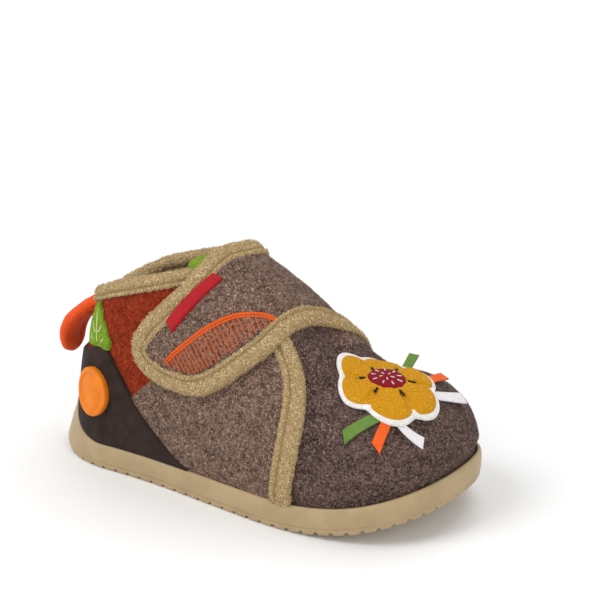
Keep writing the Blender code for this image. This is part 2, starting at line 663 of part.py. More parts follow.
def build_label(home):
    """Bare woven label beside the strap's rear binding."""
    t = np.linspace(0.764, 0.858, 10)
    near = strap_inward(t, STRAP_BINDING + 0.4)
    far = strap_inward(t, STRAP_BINDING + 3.8)
    share = np.linspace(0.0, 1.0, 3).reshape(1, -1)
    s = near[0].reshape(-1, 1) * (1.0 - share) + far[0].reshape(-1, 1) * share
    x = near[1].reshape(-1, 1) * (1.0 - share) + far[1].reshape(-1, 1) * share
    low = STRAP_SEAT + STRAP_THICK + GAP
    sheet("side_label", lift(across, s, x, low), lift(across, s, x, low + LABEL_THICK),
          (0.55, 0.018, 0.022), 0.8, home)


def build_patch(home):
    """Felt patch with a soft edge laid over the toe."""
    turn = np.linspace(0.0, 2.0 * np.pi, 36, endpoint=False)
    lobe = (np.cos(0.5 * PATCH_PETALS * turn) ** 2 + 0.03) ** 0.4
    far = 1.0 + PETAL_DEPTH * (2.0 * lobe - 1.0)
    rings = ((0.0, 0.0), (0.25, 0.0), (0.5, 0.0), (0.75, 0.0), (0.99, 0.0), (1.0, 0.4), (0.96, 1.0),
             (0.7, 1.0), (0.35, 1.0), (0.0, 1.0))
    points = []
    for share, height in rings:
        x = PATCH_MIDDLE[0] + 0.5 * PATCH_LENGTH * far * share * np.cos(turn)
        y = PATCH_MIDDLE[1] + 0.5 * PATCH_BREADTH * far * share * np.sin(turn)
        points.append(lift(plan, x, y, PATCH_SEAT + PATCH_THICK * height))
    points = np.array(points)
    faces = grid_faces(points.shape[0], points.shape[1], closed=True)
    place("toe_patch", points, faces, (0.74, 0.42, 0.03), 0.9, home)


def build_ribbons(home):
    """Flat ribbon ends lying on the toe beside the patch."""
    colours = {"green": (0.14, 0.26, 0.05), "orange": (0.85, 0.13, 0.02), "white": (0.83, 0.78, 0.79)}
    for name, root_x, root_y, tip_x, tip_y, rise, width in RIBBONS:
        along = np.linspace(0.0, 1.0, 4).reshape(-1, 1)
        side = np.linspace(-0.5, 0.5, 3).reshape(1, -1) * width
        length = np.hypot(tip_x - root_x, tip_y - root_y)
        x = root_x + (tip_x - root_x) * along - side * (tip_y - root_y) / length
        y = root_y + (tip_y - root_y) * along + side * (tip_x - root_x) / length
        colour = colours[name.split("_")[1]]
        low = GAP + rise * along ** 2
        sheet(name, lift(plan, x, y, low), lift(plan, x, y, low + RIBBON_THICK), colour, 0.7, home)


def main():
    """Empty the scene and build each piece of the slipper."""
    for item in list(bpy.data.objects):
        bpy.data.objects.remove(item)
    home = bpy.data.collections.new("slipper")
    cutters = bpy.data.collections.new("cutters")
    bpy.context.scene.collection.children.link(home)
    bpy.context.scene.collection.children.link(cutters)
    build_outsole(home, cutters)
    build_insole(home)
    build_upper(home)
    build_tongue(home)
    build_strap(home)
    build_strap_binding(home)
    build_collar_binding(home)
    build_quarter_binding(home)
    build_counter(home)
    build_leaf(home)
    build_disc(home)
    build_loop(home)
    build_label(home)
    build_patch(home)
    build_ribbons(home)


main()
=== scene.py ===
"""Felt bootie slipper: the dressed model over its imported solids.

Sizes are in millimetres in the shoe's own frame and become metres as each mesh is made: X runs
from the heel back to the toe, the outer side of the foot is at -Y, and Z is up from the floor.
A place on the upper is (q, s): q is the distance round the spine from the heel back, positive on
the outer side, and s is the girth down from the crest.  Over the instep it is also (s, x).
"""
import itertools
import logging
import math
from dataclasses import dataclass, field
from enum import Enum
from functools import partial
from typing import Any, Callable, Optional, Sequence, Union

import bmesh
import bpy
import numpy as np
from mathutils import Matrix, Vector


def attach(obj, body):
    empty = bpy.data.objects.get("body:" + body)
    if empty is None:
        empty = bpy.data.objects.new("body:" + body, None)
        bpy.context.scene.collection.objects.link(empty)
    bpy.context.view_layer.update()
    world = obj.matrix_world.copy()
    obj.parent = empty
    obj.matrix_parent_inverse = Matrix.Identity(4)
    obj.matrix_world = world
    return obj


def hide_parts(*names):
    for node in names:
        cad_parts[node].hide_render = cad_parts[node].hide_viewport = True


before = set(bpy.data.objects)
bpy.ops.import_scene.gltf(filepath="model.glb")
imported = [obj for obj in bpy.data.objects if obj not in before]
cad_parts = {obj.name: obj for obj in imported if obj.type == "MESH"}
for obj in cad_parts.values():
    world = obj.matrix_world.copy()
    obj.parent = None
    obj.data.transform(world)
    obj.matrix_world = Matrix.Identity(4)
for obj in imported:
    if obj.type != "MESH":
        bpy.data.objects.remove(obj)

LOG = logging.getLogger("slipper")
MM = 0.001
ORIGIN = np.array((77.5, 0.0, 0.0))
Array = np.ndarray
Number = Union[float, Array]
Colour = tuple[float, float, float]


class Slot(Enum):
    """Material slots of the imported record."""

    SOLE = "sole_rubber"
    FOOTBED = "footbed"
    FELT = "felt_upper"
    STRAP = "felt_strap"
    TONGUE = "felt_tongue"
    TOWELLING = "towelling"
    COUNTER = "counter_suede"
    LEAF = "leaf_felt"
    DISC = "disc_rubber"
    LOOP = "loop_cloth"
    LABEL = "label_cloth"
    PATCH = "patch_felt"
    RIBBON_GREEN = "ribbon_green"
    RIBBON_ORANGE = "ribbon_orange"
    RIBBON_WHITE = "ribbon_white"


class Panel(Enum):
    """Marks that tell the felt panels of the upper apart, as signed distances in millimetres."""

    VAMP = "vamp"
    REAR = "rear"
    LINING = "lining"


def table(*rows: Sequence[float]) -> Array:
    """Rows of numbers as one array."""
    return np.array(rows, float)


def rows_of(*rows: Sequence[float]) -> Any:
    """Dataclass field that holds a table."""
    return field(default_factory=lambda: table(*rows))


def shares(count: int) -> Array:
    """Even shares of a way, from 0 to 1."""
    return np.linspace(0.0, 1.0, count)


def angles(count: int) -> Array:
    """Even angles round a full turn, the last one short of the first."""
    return np.linspace(0.0, 2.0 * np.pi, count, endpoint=False)


def by_share(rows: Array) -> Array:
    """Rows with their even share of the way from 0 to 1 as a first column."""
    return np.column_stack([shares(len(rows)), rows])


def blend(a: Number, b: Number, t: Number) -> Number:
    """Value between two by a share."""
    return a * (1.0 - t) + b * t


def together(*values: Number) -> Sequence[Array]:
    """Values as arrays of one shape."""
    return np.broadcast_arrays(*(np.asarray(value, float) for value in values))


def smooth(low: float, high: float, x: Number) -> Number:
    """Smooth step from 0 at low to 1 at high: 3t^2 - 2t^3 of the clipped share t."""
    t = np.clip((x - low) / (high - low), 0.0, 1.0)
    return t * t * (3.0 - 2.0 * t)


def curve(rows: Array, column: int, x: Number) -> Array:
    """Cubic Hermite curve through one column of a table by its first column.

    Args:
        rows: Table whose first column rises.
        column: Column to read.
        x: Places to read it at, held inside the table.

    Returns:
        Values of the column, with central differences as slopes.
    """
    xs, ys = rows[:, 0], rows[:, column]
    slope = np.gradient(ys, xs)
    x = np.clip(x, xs[0], xs[-1])
    i = np.clip(np.searchsorted(xs, x, side="right") - 1, 0, len(xs) - 2)
    h = xs[i + 1] - xs[i]
    t = (x - xs[i]) / h
    rise = t * t * (3.0 - 2.0 * t)
    return (ys[i] * (1.0 - rise) + ys[i + 1] * rise
            + h * t * (1.0 - t) * (slope[i] * (1.0 - t) - slope[i + 1] * t))


def unit(v: Array) -> Array:
    """Vectors at length one, the zero vector left as it is."""
    return v / np.maximum(np.linalg.norm(v, axis=-1, keepdims=True), 1e-12)


def dot(a: Array, b: Array) -> Array:
    """Dot product along the last axis."""
    return np.sum(a * b, -1)


class Grain:
    """Seeded lattice noise, for lumps in felt and loops in towelling."""

    def __init__(self, seed: int, cells: int = 40) -> None:
        """Draws one random number from -1 to 1 for each corner of a cubic lattice."""
        self.cells = cells
        self.values = np.random.default_rng(seed).random((cells,) * 3) * 2.0 - 1.0

    def at(self, points: Array, size: float) -> Array:
        """Noise at points: the eight corners of a lattice cell blended by smooth steps.

        Args:
            points: Places in millimetres, last axis three long.
            size: Edge of a lattice cell.

        Returns:
            Values from -1 to 1.
        """
        place = points / size
        low = np.floor(place).astype(int)
        part = place - low
        part = part * part * (3.0 - 2.0 * part)
        total = np.zeros(points.shape[:-1])
        for corner in itertools.product((0, 1), repeat=3):
            k = (low + corner) % self.cells
            weight = np.prod(np.where(corner, part, 1.0 - part), axis=-1)
            total += weight * self.values[k[..., 0], k[..., 1], k[..., 2]]
        return total


FELT_LUMPS = Grain(3)
LOOPS = Grain(11)


def felt_lumps(points: Array) -> Array:
    """Unevenness of a felt face: broad lumps and small ones."""
    return 0.16 * FELT_LUMPS.at(points, 6.0) + 0.09 * FELT_LUMPS.at(points, 1.7)


@dataclass
class Last:
    """Form of the shoe: sole outline, tread and the face of the upper, as functions."""

    sole_length: float = 155.0
    heel_centre: float = 27.0
    toe_centre: float = 122.0
    heel_arc: float = 42.0
    toe_arc: float = 52.0
    toe_spring: float = 11.8
    toe_spring_start: float = 98.0
    heel_spring: float = 1.5
    heel_spring_length: float = 14.0
    wall_height: float = 9.8
    heel_rise: float = 14.0
    heel_rise_start: float = 24.0
    heel_flare: float = 6.0
    cup_floor: float = 4.5
    cup_wall: float = 1.8
    swell_height: float = 4.8
    gap: float = 0.3
    step: float = 0.5
    longest_girth: float = 125.0
    tape_tuck: float = 0.6
    outline_rows: Array = rows_of(
        (0.0, 30.4), (14.0, 30.1), (21.0, 29.4), (27.0, 28.3), (34.0, 27.3), (42.0, 27.0),
        (65.0, 28.2), (90.0, 31.5), (115.0, 34.4),
        (128.0, 34.6), (142.0, 33.2), (158.0, 32.2), (173.0, 32.0), (189.0, 33.0),
        (208.0, 36.6), (217.0, 37.9), (226.0, 38.0), (240.0, 36.0), (256.0, 32.8),
        (276.0, 29.2), (299.0, 27.0), (322.0, 26.2), (338.0, 26.4), (350.0, 27.8), (357.0, 29.1),
        (364.0, 30.0))
    sections: Array = rows_of(
        (0.0, 86.0, 60.0, 1.6, 0.0), (21.0, 90.0, 64.2, 1.72, 0.0), (42.0, 93.5, 70.0, 2.15, 0.2),
        (55.0, 95.0, 74.2, 2.3, 0.4), (65.0, 93.0, 77.2, 2.35, 0.6), (73.0, 89.5, 79.2, 2.35, 0.7),
        (81.0, 84.6, 78.8, 2.35, 0.8), (90.0, 79.6, 76.2, 2.35, 0.8), (100.0, 74.0, 73.2, 2.35, 0.8),
        (106.0, 70.0, 72.0, 2.36, 0.8), (112.0, 64.8, 70.0, 2.38, 0.9), (120.0, 57.6, 60.0, 2.45, 1.1),
        (127.0, 51.8, 55.0, 2.5, 1.3), (132.0, 48.9, 55.0, 2.52, 1.5), (135.0, 47.9, 55.0, 2.54, 1.6),
        (137.0, 47.7, 55.0, 2.55, 1.6))

    def __post_init__(self) -> None:
        """Works out the lengths of the loop and the table of the upper's face."""
        self.side = self.toe_centre - self.heel_centre
        self.half_loop = self.heel_arc + self.side + self.toe_arc
        self.loop = 2.0 * self.half_loop
        shift = np.array((self.loop, 0.0))
        self.outline_round = np.vstack([self.outline_rows + turn * shift for turn in (-1.0, 0.0, 1.0)])
        q = np.arange(-self.half_loop, self.half_loop - 1e-6, self.step)
        points, girth = self.profile(q, 320)
        wanted = np.minimum(np.arange(0.0, self.longest_girth, self.step), girth[:, -1:])
        face = self.read_rows(wanted, girth, points)
        mirror = (-np.arange(len(q))) % len(q)
        self.face = np.concatenate([face[mirror][:, 3:0:-1], face], axis=1)

    @staticmethod
    def read_rows(wanted: Array, keys: Array, values: Array) -> Array:
        """Linear interpolation in every row at once, the rows set far apart on one line.

        Args:
            wanted: Keys to read, one row of them for each row of the table.
            keys: Rising keys of each row.
            values: Values at the keys, with a last axis of components.

        Returns:
            Values at the wanted keys.
        """
        apart = 1000.0 * np.arange(len(keys))[:, None]
        held = np.clip(wanted, keys[:, :1], keys[:, -1:])
        at, line = (held + apart).ravel(), (keys + apart).ravel()
        parts = [np.interp(at, line, values[..., c].ravel()) for c in range(values.shape[-1])]
        return np.stack(parts, -1).reshape(held.shape + (values.shape[-1],))

    def fold(self, q: Number) -> Array:
        """Place round the loop as a signed distance from the heel back."""
        return (np.asarray(q, float) + self.half_loop) % self.loop - self.half_loop

    def axis(self, q: Number) -> tuple[Array, Array, Array]:
        """Spine x and outward direction of the upright half plane at place q."""
        signed = self.fold(q)
        a = np.abs(signed)
        x = self.heel_centre + np.clip(a - self.heel_arc, 0.0, self.side)
        back = 1.0 - np.clip(a / self.heel_arc, 0.0, 1.0)
        front = np.clip((a - self.heel_arc - self.side) / self.toe_arc, 0.0, 1.0)
        turn = 0.5 * np.pi * (front - back)
        return x, np.sin(turn), np.where(signed >= 0.0, -1.0, 1.0) * np.cos(turn)

    def outline(self, q: Number) -> Array:
        """Radius of the sole's plan from the spine."""
        return curve(self.outline_round, 1, np.mod(q, self.loop))

    def under(self, x: Number) -> Array:
        """Height of the tread face: flat, lifted by a square law at the toe and the heel."""
        toe = np.clip((x - self.toe_spring_start) / (self.sole_length - self.toe_spring_start), 0.0, 1.2)
        heel = np.clip((self.heel_spring_length - x) / self.heel_spring_length, 0.0, 1.0)
        return self.toe_spring * toe ** 2 + self.heel_spring * heel ** 2

    def edge_x(self, q: Number) -> Array:
        """X of the sole's outline."""
        x0, dx, _ = self.axis(q)
        return x0 + dx * self.outline(q)

    def round_heel(self, q: Number) -> Array:
        """Share by which the sole wall rises and leans in: a square law from the sides to the heel back."""
        back = self.heel_centre - self.outline_rows[0, 1]
        share = (self.heel_rise_start - self.edge_x(q)) / (self.heel_rise_start - back)
        return np.clip(share, 0.0, 1.0) ** 2

    def wall(self, q: Number) -> Array:
        """Height of the sole wall above the tread, rising round the heel."""
        return self.wall_height + self.heel_rise * self.round_heel(q)

    def flare(self, q: Number) -> Array:
        """Way that the top of the sole wall leans in over its foot, round the heel."""
        return self.heel_flare * self.round_heel(q)

    def cup(self, q: Number) -> Array:
        """Radius of the inner face of the sole wall."""
        return self.outline(q) - self.cup_wall - self.flare(q)

    def rim(self, q: Number) -> Array:
        """Height of the top of the sole wall."""
        return self.under(self.edge_x(q)) + self.wall(q)

    def foot(self, q: Number) -> tuple[Array, Array, Array, Array, Array]:
        """Spine x, outward direction, radius and height of the upper's lower edge."""
        x0, dx, dy = self.axis(q)
        radius = self.cup(q) - self.gap
        return x0, dx, dy, radius, self.under(x0 + dx * radius) + self.cup_floor + self.gap

    def section(self, q: Number, column: int) -> Array:
        """One column of the upper's table at place q, the toe sharing one crest."""
        return curve(self.sections, column, np.minimum(np.abs(self.fold(q)), self.heel_arc + self.side))

    def profile(self, q: Array, steps: int = 120) -> tuple[Array, Array]:
        """Face of the upper in upright half planes: a superellipse from the crest down, swollen over the rim.

        Args:
            q: Places round the loop.
            steps: Points in each half plane.

        Returns:
            Points and their running girth, one row for each place.
        """
        q = np.asarray(q, float).reshape(-1, 1)
        tau = np.linspace(0.5 * np.pi, 0.0, steps)
        x0, dx, dy, radius, base = self.foot(q)
        power = 2.0 / self.section(q, 3)
        z = base + (self.section(q, 1) - base) * np.sin(tau) ** power
        swell = self.section(q, 4) * smooth(self.gap, self.swell_height, z - self.rim(q))
        r = (radius + swell) * np.clip(np.cos(tau), 0.0, 1.0) ** power
        points = np.stack([x0 + dx * r, dy * r, z], -1)
        run = np.cumsum(np.linalg.norm(np.diff(points, axis=1), axis=2), axis=1)
        return points, np.concatenate([np.zeros((len(q), 1)), run], axis=1)

    def skin(self, q: Number, s: Number) -> Array:
        """Point of the upper's face: Catmull-Rom cubics through the table both ways.

        Args:
            q: Place round the loop.
            s: Girth down from the crest.

        Returns:
            Points, shaped as q and s together with a last axis of three.
        """
        q, s = together(q, s)
        u = (self.fold(q) + self.half_loop) / self.step
        v = np.clip(s, -0.99, self.longest_girth - 2.0) / self.step + 3.0
        i, j = np.floor(u).astype(int), np.floor(v).astype(int)
        count = len(self.face)
        total = np.zeros(q.shape + (3,))
        for a, weight_a in enumerate(self.cubic(u - i)):
            for b, weight_b in enumerate(self.cubic(v - j)):
                total += (weight_a * weight_b)[..., None] * self.face[(i + a - 1) % count, j + b - 1]
        return total

    @staticmethod
    def cubic(t: Array) -> tuple[Array, Array, Array, Array]:
        """Catmull-Rom weights of the four neighbours of a share t."""
        return (0.5 * (-t + 2.0 * t ** 2 - t ** 3), 0.5 * (2.0 - 5.0 * t ** 2 + 3.0 * t ** 3),
                0.5 * (t + 4.0 * t ** 2 - 3.0 * t ** 3), 0.5 * (t ** 3 - t ** 2))

    def reach(self, q: Number, z: Number) -> Array:
        """Girth from the crest at which the upper has height z."""
        q, z = together(q, z)
        points, girth = self.profile(q.ravel())
        return self.read_rows(-z.reshape(-1, 1), -points[..., 2], girth[..., None]).reshape(q.shape)

    def girth(self, q: Number) -> Array:
        """Whole girth of the upper from the crest to its lower edge."""
        return self.profile(q)[1][:, -1].reshape(np.shape(q))

    def top_edge(self, q: Number) -> Array:
        """Girth from the crest to the collar and throat line."""
        return self.reach(q, self.section(q, 2))

    def rim_girth(self, x: Array, side: float) -> Array:
        """Girth at which the upper passes just behind the sole's rim, at x on one side."""
        q = side * (self.heel_arc + x - self.heel_centre)
        return side * self.reach(q, self.rim(q) - self.tape_tuck)

    def across(self, s: Number, x: Number) -> Array:
        """Point over the instep: girth s from the crest, outer side positive, and x."""
        q = self.heel_arc + np.asarray(x, float) - self.heel_centre
        return self.skin(np.where(np.asarray(s) >= 0.0, q, -q), np.abs(s))

    def upright(self, q: Number, s: Number) -> Array:
        """The face with its girth reversed, so that its normal points out of the shoe."""
        return self.skin(q, -np.asarray(s))

    def plan(self, x: Number, y: Number) -> Array:
        """Point on top of the upper above a place of the plan."""
        x, y = together(x, y)
        ahead = np.maximum(x - self.toe_centre, 0.0)
        turn = np.arctan2(ahead, np.abs(y) + 1e-9) / (0.5 * np.pi)
        a = self.heel_arc + np.minimum(x, self.toe_centre) - self.heel_centre + self.toe_arc * turn
        q = np.where(y <= 0.0, a, -a)
        _, _, _, radius, base = self.foot(q)
        share = np.clip(np.hypot(ahead, y) / (radius + self.section(q, 4)), 0.0, 0.999)
        power = self.section(q, 3)
        z = base + (self.section(q, 1) - base) * (1.0 - share ** power) ** (1.0 / power)
        return np.stack([x, y, z], -1)

    @staticmethod
    def lift(face: Callable[[Array, Array], Array], a: Number, b: Number, distance: Number,
             step: float = 0.6) -> Array:
        """Point of a face moved along its normal, the cross product of its two ways.

        Args:
            face: Function of two parameters that gives points.
            a: First parameter.
            b: Second parameter.
            distance: Way out along the normal.
            step: Half of the span that the ways are measured over.

        Returns:
            Moved points.
        """
        a, b, distance = together(a, b, distance)
        way_a = face(a + step, b) - face(a - step, b)
        way_b = face(a, b + step) - face(a, b - step)
        return face(a, b) + distance[..., None] * unit(np.cross(way_a, way_b))


LAST = Last()


@dataclass
class Blank:
    """Mesh in the making: grids of points that are gathered, sewn and handed to Blender."""

    points: list[Array] = field(default_factory=list)
    faces: list[Array] = field(default_factory=list)
    marks: dict[str, list[Array]] = field(default_factory=dict)
    count: int = 0

    def add(self, points: Array, marks: dict[str, Array]) -> Array:
        """Stores points with their marks and gives their numbers in the same shape.

        Args:
            points: Points in millimetres, last axis three long.
            marks: Values for each point, by mark.

        Returns:
            Vertex numbers, shaped as the points without their last axis.
        """
        shape = points.shape[:-1]
        size = int(np.prod(shape))
        for name in {**self.marks, **marks}:
            column = self.marks.setdefault(name, [np.zeros(self.count)] if self.count else [])
            column.append(np.broadcast_to(marks.get(name, np.zeros(shape)), shape).ravel())
        self.points.append(points.reshape(-1, 3))
        numbers = self.count + np.arange(size).reshape(shape)
        self.count += size
        return numbers

    def weave(self, numbers: Array, closed: bool = False, flip: bool = False) -> None:
        """Four sided faces over grids of vertex numbers, the last axis joined round when closed."""
        here, after = numbers, np.roll(numbers, -1, axis=-1)
        if not closed:
            here, after = here[..., :-1], after[..., :-1]
        ring = [here[..., :-1, :], after[..., :-1, :], after[..., 1:, :], here[..., 1:, :]]
        self.faces.append(np.stack(ring[::-1] if flip else ring, -1).reshape(-1, 4))

    def grid(self, points: Array, closed: bool = False, flip: bool = False, **marks: Array) -> Array:
        """Surface over a grid of points, with the vertex numbers given back."""
        numbers = self.add(points, marks)
        self.weave(numbers, closed, flip)
        return numbers

    def sheet(self, low: Array, high: Array, **marks: Array) -> None:
        """Closed solid between two grids of points that share their rows and columns."""
        bottom = self.grid(low, **marks)
        top = self.grid(high, flip=True, **marks)
        for edge in ((0, slice(None)), (-1, slice(None)), (slice(None), 0), (slice(None), -1)):
            self.weave(np.stack([bottom[edge], top[edge]]))

    def tube(self, rings: Array, **marks: Array) -> None:
        """Closed solid through rings of points, each end drawn to the middle of its ring."""
        middle = np.repeat(rings.mean(axis=-2, keepdims=True), rings.shape[-2], axis=-2)
        ends = [middle[..., :1, :, :], rings, middle[..., -1:, :, :]]
        capped = {}
        for name, value in marks.items():
            value = np.broadcast_to(value, rings.shape[:-1])
            capped[name] = np.concatenate([value[..., :1, :], value, value[..., -1:, :]], axis=-2)
        self.grid(np.concatenate(ends, axis=-3), closed=True, **capped)

    def threads(self, face: Callable[[Number], Array], height: Number, radius: float, ring: int = 6,
                flat: float = 0.8) -> None:
        """Round threads along paths: a circle in the plane of the normal and the side, narrowed at the ends.

        Args:
            face: Paths by their height over the cloth, shaped threads by points by three.
            height: Height of the centre lines.
            radius: Thread radius.
            ring: Points round the thread.
            flat: Height of the section by its width.
        """
        paths = face(height)
        run = unit(np.gradient(paths, axis=-2))
        beside = unit(np.cross(run, face(height + 1.0) - paths))
        out = np.cross(beside, run)
        turn = angles(ring)
        share = np.linspace(-1.0, 1.0, paths.shape[-2])
        girth = (radius * np.sqrt(np.maximum(1.0 - np.abs(share) ** 10, 0.02)))[..., :, None, None]
        sideways, upward = np.sin(turn)[:, None], flat * np.cos(turn)[:, None]
        around = sideways * beside[..., None, :] + upward * out[..., None, :]
        steps = np.linalg.norm(np.diff(paths, axis=-2), axis=-1)
        length = np.concatenate([np.zeros(paths.shape[:-2] + (1,)), np.cumsum(steps, axis=-1)], axis=-1)
        self.tube(paths[..., None, :] + girth * around, along=length[..., None], round=turn)

    def make(self, name: str, material: bpy.types.Material) -> bpy.types.Object:
        """One smooth object in metres, its doubles merged and its faces turned outwards.

        Args:
            name: Name of the piece.
            material: Finish of the piece.

        Returns:
            The object, at the origin.
        """
        mesh = bpy.data.meshes.new(name)
        mesh.from_pydata(((np.concatenate(self.points) - ORIGIN) * MM).tolist(), [],
                         np.concatenate(self.faces).tolist())
        for mark, values in self.marks.items():
            layer = mesh.attributes.new(mark, "FLOAT", "POINT")
            layer.data.foreach_set("value", np.concatenate(values).astype(np.float32))
        sewn = bmesh.new()
        sewn.from_mesh(mesh)
        bmesh.ops.remove_doubles(sewn, verts=sewn.verts, dist=2e-6)
        bmesh.ops.dissolve_degenerate(sewn, edges=sewn.edges, dist=1e-7)
        bmesh.ops.recalc_face_normals(sewn, faces=sewn.faces)
        sewn.to_mesh(mesh)
        sewn.free()
        mesh.polygons.foreach_set("use_smooth", np.ones(len(mesh.polygons), bool))
        mesh.materials.append(material)
        item = bpy.data.objects.new(name, mesh)
        bpy.context.scene.collection.objects.link(item)
        return item


def hand_in(blank: Blank, name: str, material: bpy.types.Material, slot: Slot,
            *nodes: str) -> bpy.types.Object:
    """Makes a piece, sets it on the body and in place of its solids, and reports it.

    Args:
        blank: Its mesh.
        name: Its name.
        material: Its finish.
        slot: Its material slot; not used.
        *nodes: Solids that it stands for.

    Returns:
        The piece.
    """
    item = blank.make(name, material)
    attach(item, "root")
    if nodes:
        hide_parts(*nodes)
    LOG.info("%s: %d faces, stands for %s", name, len(item.data.polygons), ", ".join(nodes) or "nothing")
    return item


def normals_of(points: Array, closed: bool = False) -> Array:
    """Unit normals of a grid from its central differences, turned away from the middle of each row.

    Args:
        points: Grid of rows by columns by three.
        closed: Whether the columns join round.

    Returns:
        Normals in the grid's shape.
    """
    if closed:
        across = np.roll(points, -1, axis=1) - np.roll(points, 1, axis=1)
    else:
        across = np.gradient(points, axis=1)
    normal = unit(np.cross(np.gradient(points, axis=0), across))
    middle = points.mean(axis=1, keepdims=True)
    return normal * np.sign(dot(normal, points - middle).sum() + 1e-12)


class Wire:
    """A shader socket whose operators add Math nodes."""

    def __init__(self, bench: "Bench", socket: bpy.types.NodeSocket) -> None:
        """Keeps the socket and the bench that it belongs to."""
        self.bench = bench
        self.socket = socket

    def math(self, operation: str, *others: Union["Wire", float]) -> "Wire":
        """Math node on this value and others."""
        sockets = {k: v for k, v in enumerate((self,) + others)}
        return self.bench.node("ShaderNodeMath", {"operation": operation}, sockets)

    def __add__(self, other: Union["Wire", float]) -> "Wire":
        """Sum."""
        return self.math("ADD", other)

    __radd__ = __add__

    def __mul__(self, other: Union["Wire", float]) -> "Wire":
        """Product."""
        return self.math("MULTIPLY", other)

    __rmul__ = __mul__

    def __sub__(self, other: Union["Wire", float]) -> "Wire":
        """Difference."""
        return self.math("SUBTRACT", other)

    def __rsub__(self, other: float) -> "Wire":
        """Difference from a number."""
        return self * -1.0 + other

    def top(self, other: Union["Wire", float]) -> "Wire":
        """Larger of two values."""
        return self.math("MAXIMUM", other)

    def sine(self) -> "Wire":
        """Sine of the value."""
        return self.math("SINE")

    def size(self) -> "Wire":
        """Value without its sign."""
        return self.math("ABSOLUTE")

    def ramp(self, low: float, high: float) -> "Wire":
        """Smooth step from 0 at low to 1 at high, which may stand in falling order."""
        if low > high:
            return 1.0 - self.ramp(high, low)
        settings = {"interpolation_type": "SMOOTHSTEP", "clamp": True}
        sockets = {"Value": self, "From Min": low, "From Max": high}
        return self.bench.node("ShaderNodeMapRange", settings, sockets)


class Bench:
    """Node tree of one material, with one method for any node."""

    def __init__(self, name: str) -> None:
        """Starts a material with an empty Principled shader."""
        self.material = bpy.data.materials.new(name)
        self.material.use_nodes = True
        self.tree = self.material.node_tree
        self.shader = self.tree.nodes["Principled BSDF"]

    @staticmethod
    def find(sockets: Any, key: Union[str, int]) -> bpy.types.NodeSocket:
        """Socket by its place, its identifier or its name."""
        if isinstance(key, int):
            return sockets[key]
        for socket in sockets:
            if socket.identifier == key:
                return socket
        return sockets[key]

    def node(self, kind: str, settings: Optional[dict[str, Any]] = None,
             sockets: Optional[dict[Union[str, int], Any]] = None, out: Union[str, int] = 0) -> Wire:
        """Any node: its settings first, then the values or links of its sockets.

        Args:
            kind: Type of the node.
            settings: Its properties.
            sockets: Numbers, colours, vectors or wires for its inputs.
            out: Output that is given back.

        Returns:
            The output as a wire.
        """
        made = self.tree.nodes.new(kind)
        for key, value in (settings or {}).items():
            setattr(made, key, value)
        self.plug(made, sockets or {})
        return Wire(self, self.find(made.outputs, out))

    def plug(self, made: bpy.types.Node, sockets: dict[Union[str, int], Any]) -> None:
        """Sets or links the inputs of a node."""
        for key, value in sockets.items():
            socket = self.find(made.inputs, key)
            if isinstance(value, Wire):
                self.tree.links.new(value.socket, socket)
            elif isinstance(value, tuple) and socket.type == "RGBA":
                socket.default_value = (*value, 1.0)
            else:
                socket.default_value = value

    def place(self) -> Wire:
        """Object coordinates in millimetres."""
        where = self.node("ShaderNodeTexCoord", out="Object")
        return self.vector("SCALE", where, Scale=1000.0)

    def vector(self, operation: str, *parts: Any, **named: float) -> Wire:
        """Vector Math node."""
        sockets: dict[Union[str, int], Any] = {k: v for k, v in enumerate(parts)}
        return self.node("ShaderNodeVectorMath", {"operation": operation}, {**sockets, **named})

    def noise(self, where: Wire, size: float, detail: float = 2.0, rough: float = 0.5,
              out: str = "Fac") -> Wire:
        """Noise with blotches of a size in millimetres."""
        return self.node("ShaderNodeTexNoise", {"noise_dimensions": "3D"},
                         {"Vector": where, "Scale": 1.0 / size, "Detail": detail, "Roughness": rough}, out)

    def bend(self, where: Wire, size: float, by: float) -> Wire:
        """Place moved about by noise of a size, both in millimetres."""
        way = self.vector("SUBTRACT", self.noise(where, size, out="Color"), (0.5, 0.5, 0.5))
        return self.vector("ADD", where, self.vector("SCALE", way, Scale=by))

    def cells(self, where: Wire, size: float) -> Wire:
        """Distance to the middle of round cells of a size in millimetres."""
        sockets = {"Vector": where, "Scale": 1.0 / size}
        return self.node("ShaderNodeTexVoronoi", {"feature": "F1"}, sockets, "Distance")

    def mark(self, name: str) -> Wire:
        """Value of one of the mesh's marks."""
        return self.node("ShaderNodeAttribute", {"attribute_name": name}, out="Fac")

    def mix(self, share: Union[Wire, float], first: Any, second: Any) -> Wire:
        """Colour between two colours."""
        return self.node("ShaderNodeMix", {"data_type": "RGBA"},
                         {"Factor_Float": share, "A_Color": first, "B_Color": second}, "Result_Color")

    def finish(self, colour: Any, roughness: Any, height: Optional[Wire] = None, depth: float = 0.2,
               **constants: Any) -> bpy.types.Material:
        """Feeds the shader.

        Args:
            colour: Base colour.
            roughness: Roughness.
            height: Relief for a Bump node, from 0 to 1.
            depth: Height of the relief in millimetres.
            **constants: Values for other sockets, with _ for a space.

        Returns:
            The material.
        """
        sockets: dict[Union[str, int], Any] = {"Base Color": colour, "Roughness": roughness}
        if height is not None:
            relief = {"Strength": 1.0, "Distance": depth * MM, "Height": height}
            sockets["Normal"] = self.node("ShaderNodeBump", {}, relief, "Normal")
        sockets.update({key.replace("_", " "): value for key, value in constants.items()})
        self.plug(self.shader, sockets)
        return self.material


@dataclass(frozen=True)
class Tones:
    """Dark, middle and pale fibre colours of a felt."""

    dark: Colour
    middle: Colour
    pale: Colour
    fibre: float = 0.6


